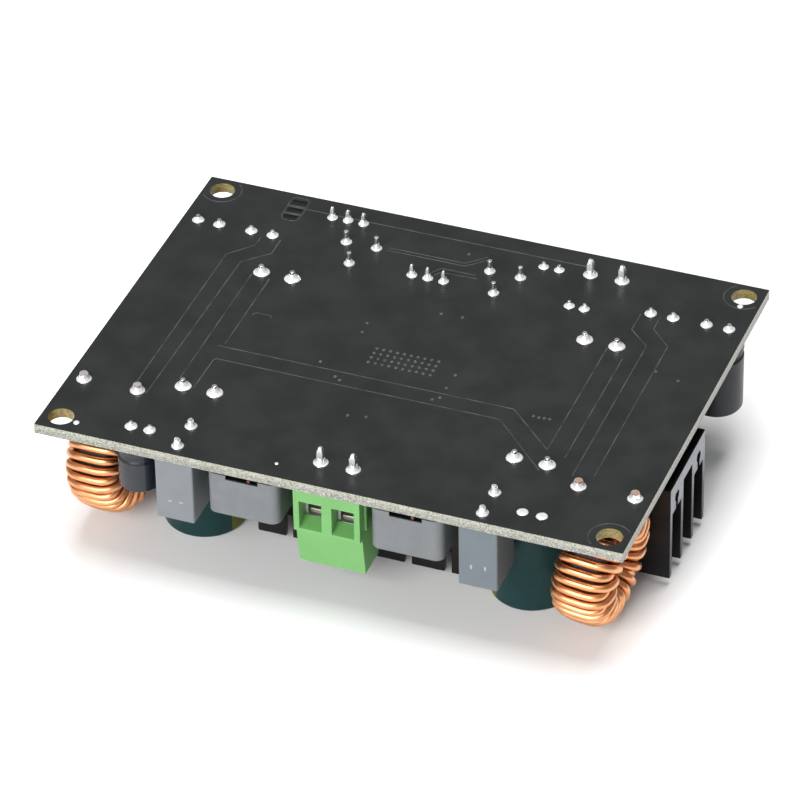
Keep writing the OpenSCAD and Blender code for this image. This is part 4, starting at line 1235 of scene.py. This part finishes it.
@dataclass
class ToroidCoil(SubAssembly):
    """A ring core that stands on edge, wound with heavy copper wire in two layers inside the ring."""

    side: Side
    foot: Place
    yaw: float
    lean: float
    tip: Colour
    turns: int = 30
    turn_points: int = 36
    start_turn: float = 60.0
    span: float = 308.0
    spread: float = 0.05
    ring_r: float = 7.05
    reach: float = 1.975
    half: float = 3.475
    layer_step: float = 1.12
    layer_rise: float = 1.05
    layer_change: float = 12.0
    rise_from: float = 0.8
    rise_to: float = -0.55
    fill: float = 2.0 / 3.0
    wire_r: float = 0.625
    wire_sides: int = 14
    pitch: float = 8.5
    lead_turn: float = 20.0
    lead_out: float = 0.2
    lift: float = 0.5
    stub: float = 1.1
    bend: float = 0.45
    bend_steps: int = 6
    joint_foot: float = 2.3
    joint_climb: float = 0.95
    sharp_turn: float = 60.0

    def leads(self) -> list[Lead]:
        """Returns the coil's two wire ends."""
        return lead_pair(self.foot, self.pitch, Joint(2.0 * self.wire_r, self.joint_foot, self.joint_climb))

    def build(self) -> None:
        """Builds the core and the winding."""
        Solid(f"coil_core_{self.side}", CORE, "iron_powder", 0.0).build()
        stand_in(self.winding(), (f"coil_winding_{self.side}",))

    def finish(self) -> WireFinish:
        """Returns the wire's finish, with this coil's colour on its cut ends."""
        return WireFinish(
            f"wire_copper_{self.side}", (0.76, 0.362, 0.168), 0.36, metallic=1.0, coat=0.15, mottle=0.1,
            mottle_size=1.5, smudge=0.08, grain=0.1, grain_size=0.4, tin=self.tip)

    def seat(self) -> Euler:
        """Returns the coil's lean and its turn on the board."""
        return Euler((0.0, math.radians(self.lean), math.radians(self.yaw)), "XYZ")

    def centre(self) -> Vector:
        """Returns the ring's middle in metres."""
        low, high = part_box(f"coil_core_{self.side}")
        return (low + high) / 2.0

    def end(self, hand: float) -> list[Spot]:
        """Lays one end of the wire out.

        Args:
            hand: -1 for the first end and 1 for the last.

        Returns:
            The points from the cut tip through the board to the ring, in millimetres.
        """
        turn = math.radians(hand * (self.span / 2.0 + self.lead_turn))
        out = self.ring_r + self.reach
        ring = Vector((hand * (self.half + self.lead_out), -out * math.sin(turn), -out * math.cos(turn)))
        ring.rotate(self.seat())
        ring += self.centre() / MM
        x, y = self.foot[0] + hand * self.pitch / 2.0, self.foot[1]
        corner = Vector((x, y, -BOARD_T - self.lift))
        start = corner + Vector((0.0, 0.0, self.bend))
        stop = corner + (ring - corner).normalized() * self.bend
        steps = [number / self.bend_steps for number in range(self.bend_steps + 1)]
        curve = [start.lerp(corner, step).lerp(corner.lerp(stop, step), step) for step in steps]
        return [tuple(point) for point in (Vector((x, y, self.stub)), *curve, ring)]

    def filled(self, recipe: Recipe, value: Value) -> Socket:
        """Returns a sine or cosine raised so that its circle becomes a rounded square."""
        power = recipe.math("POWER", recipe.math("ABSOLUTE", value), recipe.given("Fill", self.fill))
        return recipe.times(recipe.math("SIGN", value), power)

    def section(self, recipe: Recipe, count: Value) -> tuple[Socket, Socket]:
        """Finds where the wire is in the ring's section.

        Every second turn lies over its neighbours inside the ring, and rises towards that on the flat sides.

        Args:
            recipe: The tree.
            count: The number of turns up to here.

        Returns:
            The distance from the ring's axis and the place along it.
        """
        whole = recipe.math("FLOOR", count)
        odd = recipe.math("MODULO", whole, 2.0)
        late = recipe.times(recipe.less(count, whole), self.layer_change)
        late = recipe.math("MAXIMUM", recipe.less(late, self.layer_change - 1.0), 0.0)
        over = recipe.plus(odd, recipe.times(recipe.less(1.0, recipe.times(odd, 2.0)), late))
        phase = recipe.less(recipe.times(count, 2.0 * math.pi), math.radians(self.start_turn))
        out, across = recipe.math("COSINE", phase), recipe.math("SINE", phase)
        rise = recipe.over(recipe.less(self.rise_from, out), self.rise_from - self.rise_to)
        rise.node.use_clamp = True
        climb = recipe.times(over, rise, recipe.given("Rise", self.layer_rise * MM))
        inside = recipe.times(recipe.math("LESS_THAN", out, 0.0), over)
        step = recipe.times(inside, recipe.given("Layer step", self.layer_step * MM))
        loop = recipe.plus(recipe.given("Reach", self.reach * MM), step)
        outward = recipe.times(loop, self.filled(recipe, out))
        radius = recipe.plus(recipe.given("Ring", self.ring_r * MM), outward)
        width = recipe.plus(recipe.given("Half width", self.half * MM), climb)
        return radius, recipe.times(width, self.filled(recipe, across))

    def wound(self, recipe: Recipe, count: Value) -> Socket:
        """Winds the wire round the core.

        Args:
            recipe: The tree.
            count: The number of turns up to here.

        Returns:
            The wire's place.
        """
        radius, along = self.section(recipe, count)
        share = recipe.over(count, recipe.given("Turns", float(self.turns)))
        wave = recipe.math("SINE", recipe.times(share, 2.0 * math.pi))
        spread = recipe.times(wave, recipe.given("Spread", self.spread / (2.0 * math.pi)))
        turned = recipe.less(recipe.plus(share, spread), 0.5)
        angle = recipe.times(turned, recipe.given("Span", math.radians(self.span)))
        sideways, down = (recipe.times(radius, -1.0, recipe.math(wave, angle)) for wave in ("SINE", "COSINE"))
        entries = {"Vector": recipe.joined(along, sideways, down), "Rotation": tuple(self.seat())}
        seated = recipe.made("ShaderNodeVectorRotate", entries, rotation_type="EULER_XYZ")
        return recipe.vector("ADD", seated, tuple(self.centre()))

    def winding(self) -> bpy.types.Mesh:
        """Sweeps the wire along a line that the tree winds round the core between its two ends.

        Returns:
            The mesh.
        """
        first, last = self.end(-1.0), self.end(1.0)[::-1]
        turned = self.turns + 2.0 * self.start_turn / 360.0
        number = round(turned * self.turn_points) + 1
        recipe = Recipe(f"winding_{self.side}")
        here = recipe.less(recipe.made("GeometryNodeInputIndex", {}), float(len(first)))
        between = recipe.times(
            recipe.math("GREATER_THAN", here, -0.5), recipe.math("LESS_THAN", here, number - 0.5))
        place = self.wound(recipe, recipe.over(here, float(self.turn_points)))
        line = line_mesh(f"wire_line_{self.side}", [[*first, *([(0.0, 0.0, 0.0)] * number), *last]])
        path = recipe.strung(recipe.moved(recipe.geometry(), place, between))
        wire = recipe.circle(recipe.given("Wire", self.wire_r * MM), self.wire_sides)
        mesh = recipe.run(f"wire_{self.side}", line, recipe.swept(path, wire), self.finish())
        smooth_by_angle(mesh, self.sharp_turn)
        return mesh


@dataclass
class FilmCapacitor(SubAssembly):
    """A boxed film capacitor, whose leads stand a little to the right of its middle."""

    side: Side
    colour: Colour
    marks: tuple[Place, ...]
    mark_half: Pair
    aside: float = 0.4
    pitch: float = 5.0
    joint: Joint = Joint(0.8, 1.9, 1.1)
    radius: float = 0.3

    def leads(self) -> list[Lead]:
        """Returns the capacitor's two leads."""
        x, y = middle(f"film_capacitor_{self.side}")
        return lead_pair((x + self.aside, y), self.pitch, self.joint, Run.ALONG)

    def build(self) -> None:
        """Builds the box."""
        case = FilmFinish(
            f"film_grey_{self.side}", self.colour, 0.42, mottle=0.05, mottle_size=4.0, grain=0.2,
            grain_size=0.15, marks=self.marks, mark_half=self.mark_half)
        Solid(f"film_capacitor_{self.side}", case, "grey_film_case", self.radius).build()


@dataclass
class ShieldedChoke(SubAssembly):
    """A square ferrite shield with a wound drum in it."""

    side: Side
    radius: float = 0.2

    def build(self) -> None:
        """Builds the shield, its drum and the winding on it."""
        low, high = (tuple(corner.xy / MM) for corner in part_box(f"choke_shield_{self.side}"))
        coat = ShieldFinish(
            f"shield_grey_{self.side}", (0.134, 0.143, 0.151), 0.5, mottle=0.08, mottle_size=2.5, grain=0.35,
            grain_size=0.18, low=low, high=high)
        Solid(f"choke_shield_{self.side}", coat, "grey_ferrite", self.radius).build()
        Solid(f"choke_drum_{self.side}", DARK_FERRITE, "dark_ferrite").build()
        Solid(f"choke_winding_{self.side}", CHOKE_WIRE, "copper_wire", 0.0).build()


@dataclass
class TerminalBlock(SubAssembly):
    """A two-pole screw terminal: housing, contacts, rising clamps and their screws."""

    end: Row
    joint: Joint = Joint(1.15, 2.25, 0.95)
    housing_radius: float = 0.14
    contact_radius: float = 0.12
    screw_radius: float = 0.06

    def leads(self) -> list[Lead]:
        """Returns the two pins, which stand under the screws."""
        return [Lead(*middle(f"{self.end}_screw_{pole}"), self.joint) for pole in Side]

    def build(self) -> None:
        """Builds the housing and what moves in it."""
        Solid(f"{self.end}_terminal_housing", TERMINAL_GREEN, "green_moulding", self.housing_radius).build()
        Solid(f"{self.end}_terminal_contacts", CONTACT, "plated_steel", self.contact_radius).build()
        for pole in Side:
            for piece in ("clamp", "screw"):
                node, body = f"{self.end}_{piece}_{pole}", f"{self.end}_{pole}_{piece}"
                Solid(node, PLATED, "plated_steel", self.screw_radius, body).build()


@dataclass
class PinHeader(SubAssembly):
    """A row of three square pins in a black strip."""

    name: str
    pitch: float = 2.54
    joint: Joint = Joint(0.72, 1.65, 0.8)

    def leads(self) -> list[Lead]:
        """Returns the three pins."""
        x, y = middle(f"{self.name}_header_pins")
        return [Lead(x + step * self.pitch, y, self.joint) for step in (-1, 0, 1)]

    def build(self) -> None:
        """Builds the strip and the pins."""
        Solid(f"{self.name}_header_strip", HEADER_BLACK, "black_moulding").build()
        Solid(f"{self.name}_header_pins", TINNED, "plated_brass").build()


@dataclass
class Trimmer(SubAssembly):
    """A trimmer with three legs and a rotor that turns."""

    side: Side
    legs: tuple[Place, ...] = ((-2.45, 2.55), (2.45, 2.55), (0.0, -2.55))
    joint: Joint = Joint(0.7, 1.75, 0.8)
    body_radius: float = 0.12
    rotor_radius: float = 0.08

    def leads(self) -> list[Lead]:
        """Returns the three legs."""
        x, y = middle(f"trimmer_rotor_{self.side}")
        return [Lead(x + across, y + along, self.joint) for across, along in self.legs]

    def build(self) -> None:
        """Builds the body and the rotor."""
        rotor, body = f"trimmer_rotor_{self.side}", f"{self.side}_trimmer_rotor"
        Solid(f"trimmer_body_{self.side}", TRIMMER_BLUE, "blue_moulding", self.body_radius).build()
        Solid(rotor, ROTOR_CREAM, "cream_moulding", self.rotor_radius, body).build()


@dataclass
class IndicatorLamp(SubAssembly):
    """A small round lamp."""

    pitch: float = 2.5
    joint: Joint = Joint(0.5, 1.6, 0.6)
    radius: float = 0.06

    def leads(self) -> list[Lead]:
        """Returns the lamp's two leads."""
        return lead_pair(middle("indicator_lamp"), self.pitch, self.joint)

    def build(self) -> None:
        """Builds the lamp."""
        Solid("indicator_lamp", LAMP, "lamp_resin", self.radius).build()


@dataclass(frozen=True)
class Softbox:
    """A square light that looks at the object, with its place and side in metres and its power in watts."""

    name: str
    place: Spot
    size: float
    power: float

    def build(self) -> None:
        """Hangs the light."""
        light = bpy.data.lights.new(self.name, "AREA")
        light.size = self.size
        light.energy = self.power
        holder = placed(self.name, light)
        holder.location = self.place
        holder.rotation_euler = (-Vector(self.place)).to_track_quat("-Z", "Y").to_euler()


@dataclass
class Studio:
    """The floor, the light and the camera, in metres, degrees and, for the lens, millimetres."""

    camera_place: Spot = (0.231141, -0.589642, 0.463121)
    camera_turn: Spot = (53.34756, 0.90630, 20.83896)
    lens: float = 240.334
    sensor: float = 36.0
    floor_half: float = 3.0
    room_light: float = 0.29
    lights: tuple[Softbox, ...] = (
        Softbox("key", (-0.5, -3.0, 1.5), 2.2, 136.0),
        Softbox("top", (0.0, 0.3, 2.75), 1.6, 78.0),
    )

    def build(self) -> None:
        """Sets everything up round the object."""
        self.floor()
        self.world()
        for light in self.lights:
            light.build()
        self.camera()
        bpy.context.scene.view_settings.view_transform = "Standard"

    def floor(self) -> None:
        """Lays a pale floor under the object."""
        low = CAD_BOX[0].z
        hands = ((-1, -1), (1, -1), (1, 1), (-1, 1))
        mesh = bpy.data.meshes.new("floor")
        corners = [(x * self.floor_half, y * self.floor_half, low) for x, y in hands]
        mesh.from_pydata(corners, [], [range(len(corners))])
        mesh.materials.append(FLOOR.material())
        placed("floor", mesh)

    def world(self) -> None:
        """Fills the room with an even white light."""
        room = bpy.data.worlds.new("room")
        room.use_nodes = True
        back = room.node_tree.nodes["Background"]
        back.inputs["Color"].default_value = (1.0, 1.0, 1.0, 1.0)
        back.inputs["Strength"].default_value = self.room_light
        bpy.context.scene.world = room

    def camera(self) -> None:
        """Sets the camera up where the photograph was taken from."""
        view = bpy.data.cameras.new("camera")
        view.lens = self.lens
        view.sensor_width = self.sensor
        view.sensor_fit = "HORIZONTAL"
        holder = placed("camera", view)
        holder.location = self.camera_place
        holder.rotation_euler = Euler([math.radians(turn) for turn in self.camera_turn], "XYZ")
        bpy.context.scene.camera = holder


TEAL = (0.007, 0.032, 0.033)
OLIVE = (0.1, 0.1, 0.006)
CHARCOAL = (0.035, 0.037, 0.042)
BLUE_BLACK = (0.01, 0.012, 0.02)
PALE_GREY = (0.152, 0.167, 0.179)
BLUE_GREY = (0.106, 0.129, 0.144)
SILVER_TIP = (0.86, 0.82, 0.77)
COPPER_TIP = (0.86, 0.62, 0.47)
RESERVOIR = CapacitorKind("reservoir", "green_sleeve", 5.0, Joint(0.8, 2.5, 1.0), TEAL, OLIVE)
SUPPLY = CapacitorKind("supply", "dark_sleeve", 3.5, Joint(0.6, 1.9, 0.7), CHARCOAL, BLUE_BLACK)
FILTER = CapacitorKind("filter", "dark_sleeve", 2.9, Joint(0.5, 1.9, 0.7), CHARCOAL, BLUE_BLACK)
COUPLING = CapacitorKind("coupling", "dark_sleeve", 2.4, Joint(0.5, 1.65, 0.65), CHARCOAL, BLUE_BLACK)
EMPTY_PAD = Joint(0.5, 1.7, 0.16, domed=True)
RESERVOIR_STRIPES = {Side.LEFT: -4.0, Side.RIGHT: 207.0}
RESERVOIR_ASIDE = {Row.FRONT: (0.0, -0.6), Row.BACK: (0.0, 0.0)}
SUPPLY_STRIPE = 90.0
SUPPLY_COUNT = 4
FILTER_STRIPE = 332.0
FILTER_ASIDE = (0.4, 0.0)
COUPLING_STRIPE = 0.0


def capacitors() -> list[Electrolytic]:
    """Lists the board's electrolytic capacitors.

    Returns:
        The capacitors.
    """
    return [
        *(Electrolytic(RESERVOIR, f"_{row}_{side}", turn, RESERVOIR_ASIDE[row])
          for row in Row for side, turn in RESERVOIR_STRIPES.items()),
        *(Electrolytic(SUPPLY, f"_{number}", SUPPLY_STRIPE) for number in range(1, SUPPLY_COUNT + 1)),
        Electrolytic(FILTER, "", FILTER_STRIPE, FILTER_ASIDE),
        Electrolytic(COUPLING, "", COUPLING_STRIPE),
    ]


def empty_pads() -> list[Lead]:
    """Returns the pair of pads at the front right that carries no part, opposite the filter capacitor's."""
    x, y = middle("filter_can")
    return lead_pair((-x - FILTER_ASIDE[0], y), FILTER.pitch, EMPTY_PAD)


def main() -> None:
    """Builds the sub-assemblies in the order in which the board is put together."""
    logging.basicConfig(level=logging.INFO, format="%(name)s: %(message)s")
    parts: list[SubAssembly] = [
        CircuitBoard(),
        Heatsink(),
        *(ShieldedChoke(side) for side in Side),
        *capacitors(),
        ToroidCoil(Side.LEFT, foot=(-38.3, -21.15), yaw=-4.6, lean=0.5, tip=SILVER_TIP),
        ToroidCoil(Side.RIGHT, foot=(38.3, -21.15), yaw=-2.4, lean=7.0, tip=COPPER_TIP),
        FilmCapacitor(
            Side.LEFT, PALE_GREY, marks=((-24.5, -9.52), (-22.77, -9.44)), mark_half=(0.34, 0.16)),
        FilmCapacitor(
            Side.RIGHT, BLUE_GREY, marks=((21.93, -9.29), (24.05, -9.09)), mark_half=(0.18, 0.42)),
        *(TerminalBlock(end) for end in Row),
        *(PinHeader(name) for name in ("input", "jumper")),
        *(Trimmer(side) for side in Side),
        IndicatorLamp(),
    ]
    for part in parts:
        part.build()
    SolderField([lead for part in parts for lead in part.leads()] + empty_pads()).build()
    Studio().build()


if __name__ == "__main__":
    main()
